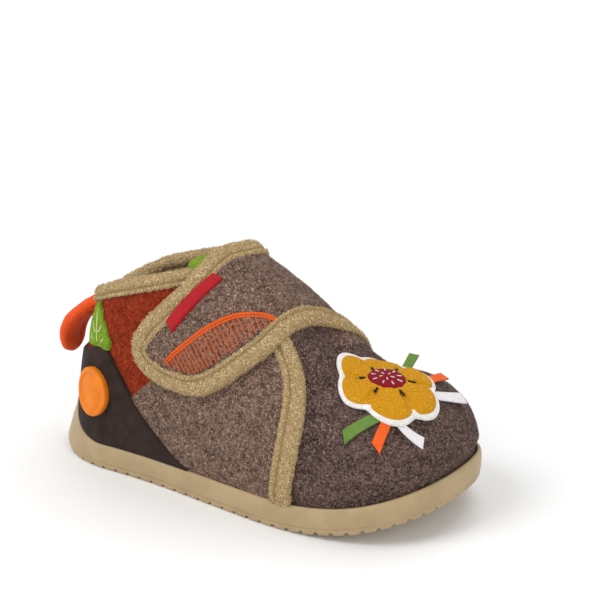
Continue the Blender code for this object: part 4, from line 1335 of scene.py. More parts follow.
@dataclass
class Strap:
    """Felt strap over the instep with its bound edge, label and stitched half leaf."""

    thick: float = 2.8
    seat: float = 0.7
    root_level: float = 1.3
    binding: float = 7.3
    thin: tuple[float, float] = (-9.0, 14.0)
    binding_seat: float = 0.65
    binding_thick: float = 3.8
    groove_inset: float = 5.2
    groove_level: float = 0.77
    tape_lap: float = 1.2
    label_thick: float = 0.9
    label_run: tuple[float, float] = (0.762, 0.860)
    label_width: float = 4.2
    label_lap: float = 0.8
    foot_share: float = 0.08
    tape: Tape = field(default_factory=Tape)
    edge_rows: Array = rows_of(
        (104.2, -62.0, 0.50), (105.8, -42.0, 0.50), (106.8, -28.0, 0.50), (106.4, -15.0, 0.50),
        (104.0, -5.5, 0.56), (101.4, 1.0, 0.70), (98.8, 7.5, 0.88), (96.1, 16.5, 1.0),
        (93.2, 25.5, 1.0), (87.5, 35.5, 1.0), (80.5, 45.0, 1.0), (71.5, 54.5, 1.0),
        (62.5, 60.3, 1.0), (52.5, 63.6, 1.0), (44.8, 62.0, 1.0), (40.2, 57.2, 1.0),
        (39.8, 51.6, 1.0), (43.4, 45.0, 1.0), (50.0, 36.5, 1.0), (57.0, 26.2, 1.0),
        (60.6, 18.0, 1.0), (63.6, 9.0, 0.90), (66.2, 2.0, 0.74), (66.9, -4.0, 0.60),
        (65.4, -10.0, 0.54), (62.6, -15.6, 0.50))
    felt_rows: Array = rows_of(
        (0.0, 0.07, 1.0), (0.20, 0.175, 0.985), (0.32, 0.253, 0.928), (0.66, 0.45, 0.78), (1.0, 0.625, 0.635))
    root_rear: tuple[float, float] = (-40.0, 66.0)
    section_rows: Array = rows_of(
        (0.7, 0.0, 0.0), (0.15, 0.12, 0.0), (0.0, 0.4, 0.0), (0.35, 0.68, 0.0), (1.3, 0.92, 0.0),
        (2.7, 1.0, 0.0), (4.1, 0.95, 0.0), (4.85, 0.84, 0.3), (5.2, 0.74, 1.0), (5.55, 0.84, 0.3),
        (6.2, 0.90, 0.0), (6.9, 0.80, 0.0), (7.3, 0.5, 0.0), (7.0, 0.1, 0.0), (3.6, 0.0, 0.0),
        (0.7, 0.0, 0.0))
    leaf_top: Array = rows_of(
        (54.2, 54.8), (60.8, 45.0), (68.5, 34.2), (76.5, 25.2), (82.5, 20.5), (88.0, 17.2), (91.8, 16.2))
    leaf_low: Array = rows_of(
        (57.0, 54.8), (65.2, 51.2), (70.0, 47.8), (77.0, 39.5), (83.5, 30.5), (91.8, 16.2))
    leaf_threads: tuple[tuple[float, float], ...] = ((0.0, 0.5), (0.75, 0.42))
    hatches: int = 26
    hatch_thread: float = 0.27
    hatch_ends: tuple[float, float] = (2.5, -1.2)
    hatch_way: tuple[float, float] = (0.931, 0.608)

    def __post_init__(self) -> None:
        """Keys the rows of the bound edge by their share of its length."""
        steps = np.hypot(np.diff(self.edge_rows[:, 0]), np.diff(self.edge_rows[:, 1]))
        self.length = steps.sum()
        share = np.concatenate([[0.0], np.cumsum(steps)]) / self.length
        self.keyed = np.column_stack([share, self.edge_rows])

    def path(self, t: Number) -> tuple[Array, Array, Array]:
        """Outer edge of the binding: girth, x and thickness share at path share t."""
        return curve(self.keyed, 2, t), curve(self.keyed, 1, t), curve(self.keyed, 3, t)

    def inward(self, t: Number, distance: Number) -> tuple[Array, Array]:
        """Girth and x of the place a distance in from the edge, across the face of the last."""
        s, x, _ = self.path(t)
        way_s = LAST.across(s + 0.5, x) - LAST.across(s - 0.5, x)
        way_x = LAST.across(s, x + 0.5) - LAST.across(s, x - 0.5)
        normal = unit(np.cross(way_s, way_x))
        ahead, behind = self.path(t + 0.004), self.path(t - 0.004)
        run = unit(LAST.across(ahead[0], ahead[1]) - LAST.across(behind[0], behind[1]))
        inward = np.cross(run, normal)
        ss, xx, sx = dot(way_s, way_s), dot(way_x, way_x), dot(way_s, way_x)
        in_s, in_x = dot(way_s, inward), dot(way_x, inward)
        det = ss * xx - sx * sx
        return s + distance * (in_s * xx - in_x * sx) / det, x + distance * (in_x * ss - in_s * sx) / det

    def top(self, s: Array, x: Array, out: Number) -> Array:
        """Point above the strap's felt face."""
        return LAST.lift(LAST.across, s, x, self.level(s) + out)

    def level(self, s: Array) -> Array:
        """Height of the strap's face: full on the outer side, thinned to one layer over the crest."""
        grown = np.clip((s - self.thin[0]) / (self.thin[1] - self.thin[0]), 0.0, 1.0)
        return self.root_level + (self.seat + self.thick - self.root_level) * smooth(0.0, 1.0, grown)

    def build(self) -> None:
        """Builds the felt, the binding with its stitches, the label and the embroidery."""
        self.build_felt()
        self.build_binding()
        self.build_label()
        self.build_embroidery()

    def build_felt(self) -> None:
        """Rows between the bound edges, sunk into the quarter at the root and pulled down at the tape."""
        row = shares(170).reshape(-1, 1)
        keys, root = self.felt_rows[:, 0], self.felt_rows[1, 0]
        inset = self.binding - self.tape_lap
        front, rear = (self.inward(np.interp(row, keys, self.felt_rows[:, edge]), inset) for edge in (1, 2))
        rise = np.clip(row / root, 0.0, 1.0)
        rear = [blend(held, free, rise) for held, free in zip(self.root_rear, rear)]
        share = shares(66)
        s, x = (blend(behind, ahead, share) for behind, ahead in zip(rear, front))
        width = np.hypot(rear[0] - front[0], rear[1] - front[1])
        tape = np.minimum(share * np.maximum(rise, 0.001) * 60.0, (1.0 - share) * width)
        grown = smooth(0.0, root, row)
        high = blend(-0.4, self.level(s), grown) - 0.4 * np.exp(-(tape / 1.6) ** 2)
        high = high + felt_lumps(LAST.across(s, x))
        low = np.minimum(self.seat * grown - 0.9, high - 0.3)
        blank = Blank()
        top = LAST.lift(LAST.across, s, x, high)
        blank.sheet(LAST.lift(LAST.across, s, x, low), top)
        finish = FeltFinish("strap_felt_finish", (QUARTER,))
        hand_in(blank, "strap_felt", finish.material(), Slot.STRAP, "strap")
        hairy = (slice(8, -3), slice(3, -3))
        Nap().comb("strap_fibres", top[hairy], normals_of(top)[hairy],
                   FibreFinish("strap_fibres_finish", (QUARTER,)), Slot.STRAP, seed=7)

    def tape_place(self, t: Array, inset: Number) -> tuple[Array, Array]:
        """Place in from the edge, drawn down by a cube law so that the tape's foot follows the sole's rim."""
        s, x = self.inward(t, inset)
        foot_s, foot_x = self.inward(np.array(0.0), inset)
        drawn = np.clip(1.0 - t / self.foot_share, 0.0, 1.0) ** 3
        return s + drawn * (LAST.rim_girth(foot_x, -1.0) - foot_s), x

    def build_binding(self) -> None:
        """Tape section carried along the edge, its height by the edge's thickness share."""
        inset, height, groove = self.tape.section(self.section_rows, 46)
        t = shares(800).reshape(-1, 1)
        s, x = self.tape_place(t, inset)
        out = self.binding_seat + self.binding_thick * height * self.path(t)[2]
        self.tape.sew("strap_tape", LAST.lift(LAST.across, s, x, out), groove, 10, "strap_binding")

        def line(share: Array, out_by: Number) -> Array:
            """Bottom of the groove by share of the edge."""
            place = 0.01 + 0.98 * share
            s_line, x_line = self.tape_place(place, self.groove_inset)
            level = self.binding_seat + self.binding_thick * self.groove_level * self.path(place)[2]
            return LAST.lift(LAST.across, s_line, x_line, level + out_by)

        self.tape.stitches("strap_tape_stitches", line, self.length * 0.98)

    def build_label(self) -> None:
        """Bare woven label beside the rear tape: a straight strip with a rounded fold."""
        t = np.linspace(*self.label_run, 60).reshape(-1, 1)
        share = shares(22)
        run = (t - t[0]) / (t[-1] - t[0])
        inset = self.binding - self.label_lap + self.label_width * share
        s, x = (blend(side[:1], side[-1:], run) for side in self.inward(t, inset))
        end = np.clip(np.minimum(t - t[0], t[-1] - t) / 0.003, 0.0, 1.0)
        round_ = np.sqrt(np.clip((1.0 - share) / 0.12, 0.0, 1.0)) * np.sqrt(np.clip(end, 0.05, 1.0))
        high = 0.15 + self.label_thick * round_ + 0.12 * np.sin(share * np.pi)
        blank = Blank()
        blank.sheet(self.top(s, x, -0.3), self.top(s, x, high), along=(t - t[0]) * self.length,
                    across=4.0 * share)
        finish = WovenFinish("label_finish", (0.46, 0.013, 0.018), (0.33, 0.008, 0.013), 0.5, 0.55)
        hand_in(blank, "label_tape", finish.material(), Slot.LABEL, "side_label")

    def build_embroidery(self) -> None:
        """Half leaf of raised thread: a double outline and even slanting hatches between its bounds."""
        run = shares(150)
        bounds = [[curve(by_share(rows), column, run) for column in (1, 2)]
                  for rows in (self.leaf_top, self.leaf_low)]
        x, s = bounds[0]
        way_x, way_s = np.gradient(x), np.gradient(s)
        size = np.hypot(way_x, way_s)
        blank = Blank()
        for shift, radius in self.leaf_threads:
            place = (s + shift * way_x / size)[None], (x - shift * way_s / size)[None]
            blank.threads(partial(self.top, *place), 0.12, radius, ring=8)
        beside = [x * self.hatch_way[1] - s * self.hatch_way[0] for x, s in bounds]
        first, last = beside[0][[0, -1]] + self.hatch_ends
        level = np.linspace(first, last, self.hatches)
        ends = [[np.interp(level, key, side).reshape(-1, 1) for side in bound]
                for key, bound in zip(beside, bounds)]
        way = shares(22)
        x, s = (blend(top, low, way) for top, low in zip(*ends))
        blank.threads(partial(self.top, s, x), 0.08, self.hatch_thread)
        finish = ThreadFinish("embroidery_finish", (0.85, 0.135, 0.012), (0.55, 0.06, 0.005), 0.9)
        hand_in(blank, "strap_embroidery", finish.material(), Slot.STRAP)


@dataclass
class Collar:
    """Towelling tapes that are not on the strap: round the collar and down the outer quarter."""

    from_q: float = -79.6
    to_q: float = 73.8
    collar_groove: tuple[float, float] = (4.4, 0.8)
    collar_length: float = 165.0
    quarter_seat: float = 0.2
    quarter_groove: tuple[float, float] = (-1.4, 1.65)
    quarter_length: float = 42.0
    tape: Tape = field(default_factory=Tape)
    collar_rows: Array = rows_of(
        (6.05, 0.1, 0.0), (6.05, 0.7, 0.0), (5.6, 1.15, 0.0), (5.1, 1.2, 0.0), (4.7, 1.0, 0.4),
        (4.4, 0.72, 1.0), (4.0, 1.05, 0.4), (3.2, 1.45, 0.0), (2.0, 1.5, 0.0), (0.9, 1.0, 0.0),
        (0.2, 0.0, 0.0), (0.0, -1.2, 0.0), (0.2, -2.5, 0.0), (0.9, -3.5, 0.0), (2.2, -4.1, 0.0),
        (3.5, -4.0, 0.0), (4.4, -3.5, 0.8), (5.2, -3.9, 0.0), (6.0, -3.5, 0.0), (6.05, -2.7, 0.0),
        (6.05, -1.2, 0.0), (6.05, 0.1, 0.0))
    quarter_edge: Array = rows_of(
        (93.6, 20.2), (96.8, 21.4), (100.0, 23.3), (102.8, 26.2), (104.6, 30.0), (105.5, 36.0), (105.3, 45.0),
        (104.4, 55.0), (103.6, 63.4))
    quarter_rows: Array = rows_of(
        (3.7, 0.0, 0.0), (4.1, 0.5, 0.0), (3.95, 1.3, 0.0), (3.1, 2.1, 0.0), (1.7, 2.4, 0.0),
        (0.3, 2.25, 0.0), (-0.9, 1.85, 0.4), (-1.4, 1.4, 1.0), (-1.9, 1.8, 0.3), (-2.7, 2.0, 0.0),
        (-3.5, 1.75, 0.0), (-4.0, 1.1, 0.0), (-3.9, 0.2, 0.0), (0.0, 0.0, 0.0), (3.7, 0.0, 0.0))

    def build(self) -> None:
        """Builds both tapes with their stitches."""
        self.build_collar()
        self.build_quarter()

    def build_collar(self) -> None:
        """Tape section wrapped over the collar line."""
        down, out, groove = self.tape.section(self.collar_rows, 60)
        q = np.linspace(self.from_q, self.to_q, 400).reshape(-1, 1)
        start = LAST.top_edge(q)
        rings = LAST.lift(LAST.upright, q, -(start + down), out)
        self.tape.sew("collar_tape", rings, groove, 11, "collar_binding")

        def line(share: Array, out_by: Number) -> Array:
            """Bottom of the outer groove by share of the collar."""
            place = self.from_q + (self.to_q - self.from_q) * share
            below, level = self.collar_groove
            return LAST.lift(LAST.upright, place, -(LAST.top_edge(place) + below), level + out_by)

        self.tape.stitches("collar_tape_stitches", line, self.collar_length)

    def quarter_beside(self, run: Number, along: Number) -> tuple[Array, Array]:
        """Girth and x at a distance beside the line of the quarter tape."""
        rows = by_share(self.quarter_edge)
        x, s = curve(rows, 1, run), curve(rows, 2, run)
        way_x = curve(rows, 1, run + 0.01) - curve(rows, 1, run - 0.01)
        way_s = curve(rows, 2, run + 0.01) - curve(rows, 2, run - 0.01)
        size = np.hypot(way_x, way_s)
        return s - along * way_x / size, x + along * way_s / size

    def quarter_place(self, run: Array, along: Number) -> tuple[Array, Array]:
        """The same place, drawn down by a cube law so that the tape's foot follows the sole's rim."""
        s, x = self.quarter_beside(run, along)
        foot_s, foot_x = self.quarter_beside(np.array(1.0), along)
        return s + run ** 3 * (LAST.rim_girth(foot_x, 1.0) - foot_s), x

    def build_quarter(self) -> None:
        """Tape section laid along the front edge of the outer quarter, from the strap to the sole."""
        along, height, groove = self.tape.section(self.quarter_rows, 44)
        run = shares(130).reshape(-1, 1)
        s, x = self.quarter_place(run, along)
        rings = LAST.lift(LAST.across, s, x, self.quarter_seat + height)
        self.tape.sew("quarter_tape", rings, groove, 12, "quarter_binding")

        def line(share: Array, out_by: Number) -> Array:
            """Bottom of the groove by share of the tape."""
            beside, level = self.quarter_groove
            s_line, x_line = self.quarter_place(0.02 + 0.95 * share, beside)
            return LAST.lift(LAST.across, s_line, x_line, level + out_by)

        self.tape.stitches("quarter_tape_stitches", line, self.quarter_length)


@dataclass
class HeelTrim:
    """Pieces round the heel: brushed counter, felt leaf, rubber disc and padded pull loop."""

    counter_thick: float = 1.4
    leaf_thick: float = 1.1
    disc_radius: float = 9.0
    disc_ring: float = 1.9
    disc_breadth: float = 0.82
    disc_place: tuple[float, float] = (36.4, 29.3)
    vein_thread: float = 0.3
    lobe_start: float = 45.2
    lobe_pitch: float = 5.4
    lobe_depth: float = 0.9
    loop_aside: float = -1.0
    loop_end: float = 2.0
    counter_top: Array = rows_of(
        (0.0, 40.5), (20.0, 41.2), (29.0, 43.0), (34.5, 45.8), (39.0, 46.4), (42.8, 44.4), (47.0, 38.8),
        (52.0, 32.2), (63.0, 21.2), (74.0, 13.0), (79.0, 9.8))
    leaf_rows: Array = rows_of(
        (45.4, 35.8, 7.4), (47.4, 35.2, 7.7), (50.4, 34.5, 7.4), (53.5, 33.7, 5.9), (57.0, 33.4, 4.0),
        (59.6, 33.3, 2.2), (61.2, 33.3, 0.5))
    veins: Array = rows_of(
        (36.2, 47.2, 35.0, 52.0, 34.2, 58.4), (31.9, 54.0, 32.4, 50.9, 34.9, 50.5),
        (38.2, 54.0, 37.9, 51.1, 34.9, 50.5), (31.2, 49.0, 32.2, 47.9, 32.6, 47.2),
        (39.8, 49.4, 39.4, 48.4, 38.8, 47.6))
    loop_rows: Array = rows_of(
        (0.0, 10.1, 54.9, 3.6, 1.5), (5.0, 5.0, 52.6, 5.4, 2.5), (10.0, 0.8, 49.5, 6.6, 3.0),
        (16.0, -3.6, 45.0, 7.0, 3.2), (22.0, -6.2, 39.4, 6.8, 3.1), (27.0, -6.6, 34.4, 5.2, 2.6),
        (30.0, -6.2, 31.4, 2.6, 1.5))

    @staticmethod
    def out(q: Number, z: Number, distance: Number) -> Array:
        """Point a distance out of the upper at place q and height z."""
        return LAST.lift(LAST.upright, q, -LAST.reach(q, z), distance)

    def build(self) -> None:
        """Builds the counter, the leaf with its veins, the disc and the pull loop."""
        self.build_counter()
        self.build_leaf()
        self.build_disc()
        self.build_loop()

    def build_counter(self) -> None:
        """Sheet from the sole's rim to a wavy top edge, rounded off at the edge."""
        q = np.linspace(-self.counter_top[-1, 0], self.counter_top[-1, 0], 260)
        low = LAST.rim(q) + 0.12
        high = np.maximum(curve(self.counter_top, 1, np.abs(q)), low + 0.6)
        steep = np.hypot(1.0, np.gradient(high, q))
        share = shares(44).reshape(-1, 1) ** 0.8
        z = low + (high - low) * share
        q = q + 0.0 * z
        edge = np.sqrt(1.0 - (1.0 - np.clip((high - z) / steep / 1.1, 0.0, 1.0)) ** 2)
        lumps = 0.06 * FELT_LUMPS.at(LAST.skin(q, LAST.reach(q, z)), 5.0)
        blank = Blank()
        blank.sheet(self.out(q, z, -0.4), self.out(q, z, 0.35 + (self.counter_thick + lumps) * edge))
        finish = SuedeFinish("counter_finish", (0.020, 0.0115, 0.0085), (0.044, 0.027, 0.021))
        hand_in(blank, "counter_suede", finish.material(), Slot.COUNTER, "heel_counter")

    def build_leaf(self) -> None:
        """Felt leaf with a lobed front edge, and pale stitched veins as short curves on it."""
        rows = self.leaf_rows
        z = np.linspace(rows[0, 0], rows[-1, 0], 64).reshape(-1, 1)
        share = np.linspace(-1.0, 1.0, 34)
        lobes = np.abs(np.sin(np.pi * (z - self.lobe_start) / self.lobe_pitch))
        lobes = lobes * smooth(61.0, 56.0, z) * smooth(45.0, 48.0, z)
        half = curve(rows, 2, z) + self.lobe_depth * (lobes - 0.55) * (0.35 + 0.65 * (share > 0.0))
        q = curve(rows, 1, z) + np.maximum(half, 0.4) * share
        z = z + 0.0 * q
        edge = np.sqrt(1.0 - np.abs(share) ** 10) * np.sqrt(np.clip((rows[-1, 0] - z) / 0.9, 0.02, 1.0))
        blank = Blank()
        blank.sheet(self.out(q, z, -0.3), self.out(q, z, LAST.gap + self.leaf_thick * np.maximum(edge, 0.03)))
        felt = FeltFinish("leaf_felt_finish", (GREEN,), relief=0.2)
        hand_in(blank, "leaf_felt", felt.material(), Slot.LEAF, "heel_leaf")
        t = shares(24)
        weights = ((1.0 - t) ** 2, 2.0 * t * (1.0 - t), t ** 2)
        v = self.veins
        vein_q = sum(w * v[:, 2 * k:2 * k + 1] for k, w in enumerate(weights))
        vein_z = sum(w * v[:, 2 * k + 1:2 * k + 2] for k, w in enumerate(weights))
        stitched = Blank()
        height = LAST.gap + self.leaf_thick + 0.05
        stitched.threads(partial(self.out, vein_q, vein_z), height, self.vein_thread, flat=0.7)
        finish = ThreadFinish("vein_finish", (0.62, 0.72, 0.36), (0.42, 0.52, 0.16))
        hand_in(stitched, "leaf_veins", finish.material(), Slot.LEAF)

    def build_disc(self) -> None:
        """Rings of a round button with a rounded wall, a raised ring and a bare, slightly domed middle."""
        turn = angles(108)
        inner = (self.disc_radius - self.disc_ring) / self.disc_radius
        rows = table(
            (0.0, -0.4), (0.6, -0.4), (0.99, -0.4), (1.0, 0.2), (1.0, 1.2), (0.99, 1.75), (0.97, 2.1),
            (0.94, 2.28), (0.90, 2.34), (0.85, 2.32), (inner + 0.01, 2.2), (inner - 0.01, 1.95),
            (inner - 0.03, 1.72), (inner - 0.06, 1.62), (inner - 0.10, 1.62), (0.6, 1.72), (0.45, 1.8),
            (0.3, 1.85), (0.15, 1.88), (0.0, 1.88))
        base = LAST.gap + self.counter_thick
        q = self.disc_place[0] + self.disc_radius * rows[:, :1] * np.sin(turn) * self.disc_breadth
        z = self.disc_place[1] + self.disc_radius * rows[:, :1] * np.cos(turn)
        blank = Blank()
        blank.grid(self.out(q, z, base + rows[:, 1:] + 0.0 * q), closed=True)
        finish = RubberFinish("disc_finish", (0.80, 0.225, 0.006), (0.70, 0.165, 0.004), 0.42)
        hand_in(blank, "disc_rubber", finish.material(), Slot.DISC, "heel_disc")

    def build_loop(self) -> None:
        """Flat rings down a hanging path, swollen, with a fold, cross wrinkles at the root and lumps."""
        rows = self.loop_rows
        along = np.linspace(rows[0, 0], rows[-1, 0], 110)
        centre = np.stack([curve(rows, 1, along), 0.0 * along + self.loop_aside, curve(rows, 2, along)], -1)
        run = unit(np.gradient(centre, axis=0))
        beside = np.array((0.0, 1.0, 0.0))
        out = np.cross(beside, run)
        turn = angles(72)
        end = np.sqrt(1.0 - np.clip((along - rows[-1, 0]) / self.loop_end + 1.0, 0.0, 0.995) ** 2)
        half_w, half_t = curve(rows, 3, along) * end, curve(rows, 4, along) * end
        w = np.sign(np.sin(turn)) * np.abs(np.sin(turn)) ** 0.85
        t = np.sign(np.cos(turn)) * np.abs(np.cos(turn)) ** 0.9
        fold = 0.9 * np.exp(-((w - 0.25) / 0.16) ** 2) * smooth(6.0, 14.0, along)[:, None]
        gather = 0.3 * np.sin(along * 1.9)[:, None] * smooth(12.0, 3.0, along)[:, None]
        thick = half_t[:, None] * t * (1.0 - 0.28 * fold * np.abs(t)) + gather * t
        wide = half_w[:, None] * w
        rings = centre[:, None, :] + wide[..., None] * beside + thick[..., None] * out[:, None, :]
        rings = rings + (0.28 * FELT_LUMPS.at(rings, 4.5))[..., None] * normals_of(rings, closed=True)
        blank = Blank()
        blank.tube(rings, along=along[:, None], across=wide)
        finish = WovenFinish("pull_loop_finish", (0.84, 0.105, 0.018), (0.70, 0.065, 0.010), 0.4, 0.7)
        item = hand_in(blank, "pull_loop", finish.material(), Slot.LOOP, "heel_loop")


@dataclass
class ToeTrim:
    """Flower patch on the toe and the ribbon ends that show past it."""

    middle: tuple[float, float] = (127.6, -5.2)
    length: float = 34.0
    breadth: float = 29.0
    petals: int = 6
    petal_depth: float = 0.075
    seat: float = 0.5
    border: float = 0.93
    heart: float = 0.36
    petal_rings: int = 64
    petal_rise: float = 1.35
    yarn_loop: float = 1.15
    ribbon_thick: float = 0.6
    ribbons: tuple[tuple[str, Slot, tuple[float, ...]], ...] = (
        ("ribbon_green_outer", Slot.RIBBON_GREEN, (132.6, -18.2, 123.8, -26.8, 0.2, 0.3, 2.8)),
        ("ribbon_orange_outer", Slot.RIBBON_ORANGE, (135.0, -16.6, 134.3, -24.9, 0.2, 0.2, 3.1)),
        ("ribbon_white_outer", Slot.RIBBON_WHITE, (137.4, -16.8, 145.8, -14.5, 0.4, -0.9, 2.0)),
        ("ribbon_green_inner", Slot.RIBBON_GREEN, (128.8, 5.0, 126.3, 17.0, 4.2, 0.0, 3.2)),
        ("ribbon_orange_inner", Slot.RIBBON_ORANGE, (136.4, 4.5, 138.6, 15.2, 1.5, 0.0, 3.2)),
        ("ribbon_white_inner", Slot.RIBBON_WHITE, (140.8, 0.0, 147.1, 11.2, 1.6, -0.8, 3.1)))
    colours: tuple[tuple[Slot, Colour, Colour], ...] = (
        (Slot.RIBBON_GREEN, (0.155, 0.275, 0.055), (0.105, 0.20, 0.035)),
        (Slot.RIBBON_ORANGE, (0.90, 0.14, 0.018), (0.72, 0.085, 0.010)),
        (Slot.RIBBON_WHITE, (0.86, 0.81, 0.83), (0.72, 0.67, 0.70)))

    def spot(self, share: Number, turn: Number) -> tuple[Array, Array]:
        """Place in the plan by share of the outline and angle: round petals with narrow valleys."""
        lobe = (np.cos(0.5 * self.petals * turn) ** 2 + 0.03) ** 0.4
        far = share * (1.0 + self.petal_depth * (2.0 * lobe - 1.0))
        return (self.middle[0] + 0.5 * self.length * far * np.cos(turn),
                self.middle[1] + 0.5 * self.breadth * far * np.sin(turn))

    def out(self, share: Number, turn: Number, height: Number) -> Array:
        """Point above the toe by share and angle."""
        x, y = self.spot(share, turn)
        return LAST.lift(LAST.plan, x, y, self.seat + height)

    def build(self) -> None:
        """Builds the patch layers, its stitches and the ribbons."""
        self.build_patch()
        self.build_heart()
        self.build_ribbons()

    def build_patch(self) -> None:
        """White felt ground with a rounded edge, and plump petals of looped yarn with valleys between."""
        turn = angles(240)
        rows = table(
            (0.0, 0.0), (0.4, 0.0), (0.8, 0.0), (0.98, 0.0), (1.0, 0.25), (1.005, 0.6), (1.0, 0.95),
            (0.985, 1.2), (0.96, 1.3), (0.92, 1.3), (0.86, 1.2), (0.7, 1.1), (0.4, 1.1), (0.0, 1.1))
        ground = Blank()
        ground.grid(self.out(rows[:, :1], turn, rows[:, 1:] + 0.0 * turn), closed=True)
        felt = FeltFinish("patch_ground_finish", (WHITE,), relief=0.15)
        hand_in(ground, "patch_ground", felt.material(), Slot.PATCH, "toe_patch")
        under = shares(8)[:-1]
        share = np.concatenate([under, np.linspace(1.0, 0.0, self.petal_rings) ** 0.8]).reshape(-1, 1)
        top = (np.arange(len(share)) >= len(under)).reshape(-1, 1)
        valley = np.abs(np.sin(0.5 * self.petals * turn))
        dome = np.sqrt(1.0 - np.clip((share - 0.80) / 0.20, 0.0, 1.0) ** 2)
        gap = 1.0 - 0.75 * np.exp(-((1.0 - valley) / 0.07) ** 2) * smooth(0.38, 0.6, share)
        height = np.where(top, 1.05 + self.petal_rise * dome * gap, 1.0)
        points = self.out(share * self.border, turn, height)
        loops = np.where(top, 0.28 * LOOPS.at(points, self.yarn_loop) * dome, 0.0) * smooth(0.0, 0.08, share)
        yarn = Blank()
        yarn.grid(self.out(share * self.border, turn, height + loops), closed=True)
        finish = YarnFinish("patch_petals_finish", (0.80, 0.43, 0.012), (0.55, 0.23, 0.004))
        hand_in(yarn, "patch_petals", finish.material(), Slot.PATCH)

    def build_heart(self) -> None:
        """Crimson middle with two rings of white dashes, and dark stitches that spread from it."""
        turn = angles(96)
        rows = table((0.0, 1.8), (0.9, 1.8), (1.0, 2.1), (1.0, 2.45), (0.96, 2.75), (0.88, 2.9), (0.6, 3.0),
                     (0.3, 3.05), (0.0, 3.05))
        wave = 1.0 + 0.06 * np.cos(self.petals * turn + np.pi)
        heart = Blank()
        heart.grid(self.out(rows[:, :1] * self.heart * wave, turn, rows[:, 1:] + 0.0 * turn), closed=True)
        finish = YarnFinish("patch_heart_finish", (0.40, 0.006, 0.022), (0.24, 0.003, 0.012), 0.55)
        hand_in(heart, "patch_heart", finish.material(), Slot.PATCH)
        self.stitch("patch_dashes", ((5, 0.07, 0.15, 0.2), (9, 0.20, 0.30, 0.0)), 3.05, 0.24,
                    ThreadFinish("patch_dashes_finish", (0.85, 0.82, 0.78), (0.62, 0.58, 0.55)))
        self.stitch("patch_rays", ((6, 0.42, 0.60, 0.5235988),), 2.05, 0.42,
                    ThreadFinish("patch_rays_finish", (0.014, 0.012, 0.012), (0.006, 0.005, 0.005)))

    def stitch(self, name: str, rings: Sequence[tuple[int, float, float, float]], height: float,
               radius: float, finish: ThreadFinish) -> None:
        """Rings of radial stitches.

        Args:
            name: Name of the piece.
            rings: Count, near share, far share and starting angle of each ring.
            height: Height of the stitches over the patch's seat.
            radius: Thread radius.
            finish: Finish of the thread.
        """
        blank = Blank()
        way = shares(10)
        for count, near, far, start in rings:
            turn = start + 2.0 * np.pi * np.arange(count).reshape(-1, 1) / count + 0.0 * way
            blank.threads(partial(self.out, blend(near, far, way), turn), height, radius)
        hand_in(blank, name, finish.material(), Slot.PATCH)

    def build_ribbons(self) -> None:
        """Flat woven strips over the toe, bowed sideways and lifted towards the tip."""
        finishes = {slot: WovenFinish(slot.value + "_finish", light, shade, 0.42, 0.5).material()
                    for slot, light, shade in self.colours}
        run = shares(44).reshape(-1, 1)
        for name, slot, (x0, y0, x1, y1, lifted, bow, width) in self.ribbons:
            side = np.linspace(-0.5, 0.5, 12) * width
            length = math.hypot(x1 - x0, y1 - y0)
            beside = side + bow * 4.0 * run * (1.0 - run)
            x = x0 + (x1 - x0) * run - beside * (y1 - y0) / length
            y = y0 + (y1 - y0) * run + beside * (x1 - x0) / length
            low = 0.25 + lifted * run ** 2 + 0.0 * side
            curl = 0.12 * (side / width * 2.0) ** 2
            blank = Blank()
            faces = [LAST.lift(LAST.plan, x, y, low + curl + out) for out in (0.0, self.ribbon_thick)]
            blank.sheet(*faces, along=length * run, across=side)
            hand_in(blank, name + "_strip", finishes[slot], slot, name)


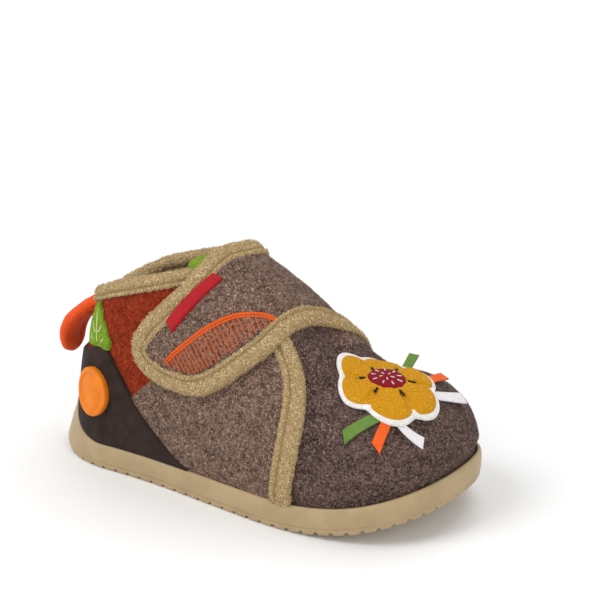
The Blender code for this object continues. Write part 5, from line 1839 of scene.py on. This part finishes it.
@dataclass
class Studio:
    """Pale floor, soft lights and the camera at the photograph's angle."""

    azimuth: float = 31.0
    elevation: float = 23.0
    distance: float = 0.55
    focal_pixels: float = 1552.0
    image: float = 600.0
    centre_pixel: tuple[float, float] = (266.0, 397.5)
    target: tuple[float, float, float] = (0.0005, 0.0, 0.030)
    world_strength: float = 0.50
    lamps: tuple[tuple[str, tuple[float, float, float], float, float], ...] = (
        ("key", (-0.55, -0.75, 1.15), 0.7, 9.7), ("fill", (0.9, -0.6, 0.7), 0.8, 2.6),
        ("top", (0.1, 0.5, 1.3), 0.9, 5.6))
    glow_span: tuple[float, float] = (260.0, 1300.0)
    sweep_rows: Array = rows_of(
        (0.0, 0.0), (2000.0, 0.0), (3000.0, 0.0), (3500.0, 40.0), (3800.0, 160.0), (3950.0, 380.0),
        (4000.0, 700.0))

    def build(self) -> None:
        """Builds the floor, the lights and the camera."""
        self.build_floor()
        self.build_lights()
        self.build_camera()

    def build_floor(self) -> None:
        """Pale matt sweep, brighter far from the shoe: rows of radius and height turned about Z."""
        bench = Bench("floor_finish")
        away = bench.node("ShaderNodeVectorMath", {"operation": "LENGTH"}, {0: bench.place()}, "Value")
        glow = bench.mix(away.ramp(*self.glow_span), (0.03, 0.03, 0.03), (0.75, 0.75, 0.75))
        finish = bench.finish((0.90, 0.90, 0.90), 0.9, Specular_IOR_Level=0.1, Emission_Color=glow,
                              Emission_Strength=1.0)
        turn = angles(96)
        radius, high = self.sweep_rows.T[..., None]
        blank = Blank()
        blank.grid(np.stack([radius * np.cos(turn), radius * np.sin(turn), high + 0.0 * turn], -1) + ORIGIN,
                   closed=True)
        blank.make("floor_board", finish)

    def build_lights(self) -> None:
        """White surroundings, a large key at the upper left, a fill at the right and a lamp above."""
        world = bpy.data.worlds.new("studio_white")
        bpy.context.scene.world = world
        world.use_nodes = True
        sky = world.node_tree.nodes["Background"]
        sky.inputs["Color"].default_value = (1.0, 1.0, 1.0, 1.0)
        sky.inputs["Strength"].default_value = self.world_strength
        for name, place, size, power in self.lamps:
            lamp = bpy.data.lights.new(name, "AREA")
            lamp.size = size
            lamp.energy = power
            item = bpy.data.objects.new(name, lamp)
            item.location = place
            item.rotation_mode = "QUATERNION"
            item.rotation_quaternion = (Vector(place) - Vector((0.0, 0.0, 0.03))).to_track_quat("Z", "Y")
            bpy.context.scene.collection.objects.link(item)
        view = bpy.context.scene.view_settings
        view.view_transform = "Standard"
        view.look = "None"
        view.exposure = 0.0

    def build_camera(self) -> None:
        """Camera at the fitted place, aimed so that the middle of the frame is its axis."""
        a, e = math.radians(self.azimuth), math.radians(self.elevation)
        back = Vector((math.sin(a) * math.cos(e), -math.cos(a) * math.cos(e), math.sin(e)))
        right = Vector((math.cos(a), math.sin(a), 0.0))
        up = back.cross(right)
        middle = 0.5 * self.image
        aim = (-back + right * ((middle - self.centre_pixel[0]) / self.focal_pixels)
               + up * ((self.centre_pixel[1] - middle) / self.focal_pixels))
        data = bpy.data.cameras.new("camera")
        data.sensor_width = 36.0
        data.lens = self.focal_pixels / self.image * 36.0
        data.clip_start = 0.01
        data.clip_end = 50.0
        camera = bpy.data.objects.new("camera", data)
        camera.location = Vector(self.target) + back * self.distance
        camera.rotation_mode = "QUATERNION"
        aim.normalize()
        beside = aim.cross(up).normalized()
        camera.rotation_quaternion = Matrix((beside, beside.cross(aim), -aim)).transposed().to_quaternion()
        bpy.context.scene.collection.objects.link(camera)
        bpy.context.scene.camera = camera


def main() -> None:
    """Builds each sub-assembly in order."""
    logging.basicConfig(level=logging.INFO, format="%(name)s: %(message)s")
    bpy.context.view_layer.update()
    for assembly in (Studio(), Sole(), Upper(), Strap(), Collar(), HeelTrim(), ToeTrim()):
        assembly.build()


if __name__ == "__main__":
    main()
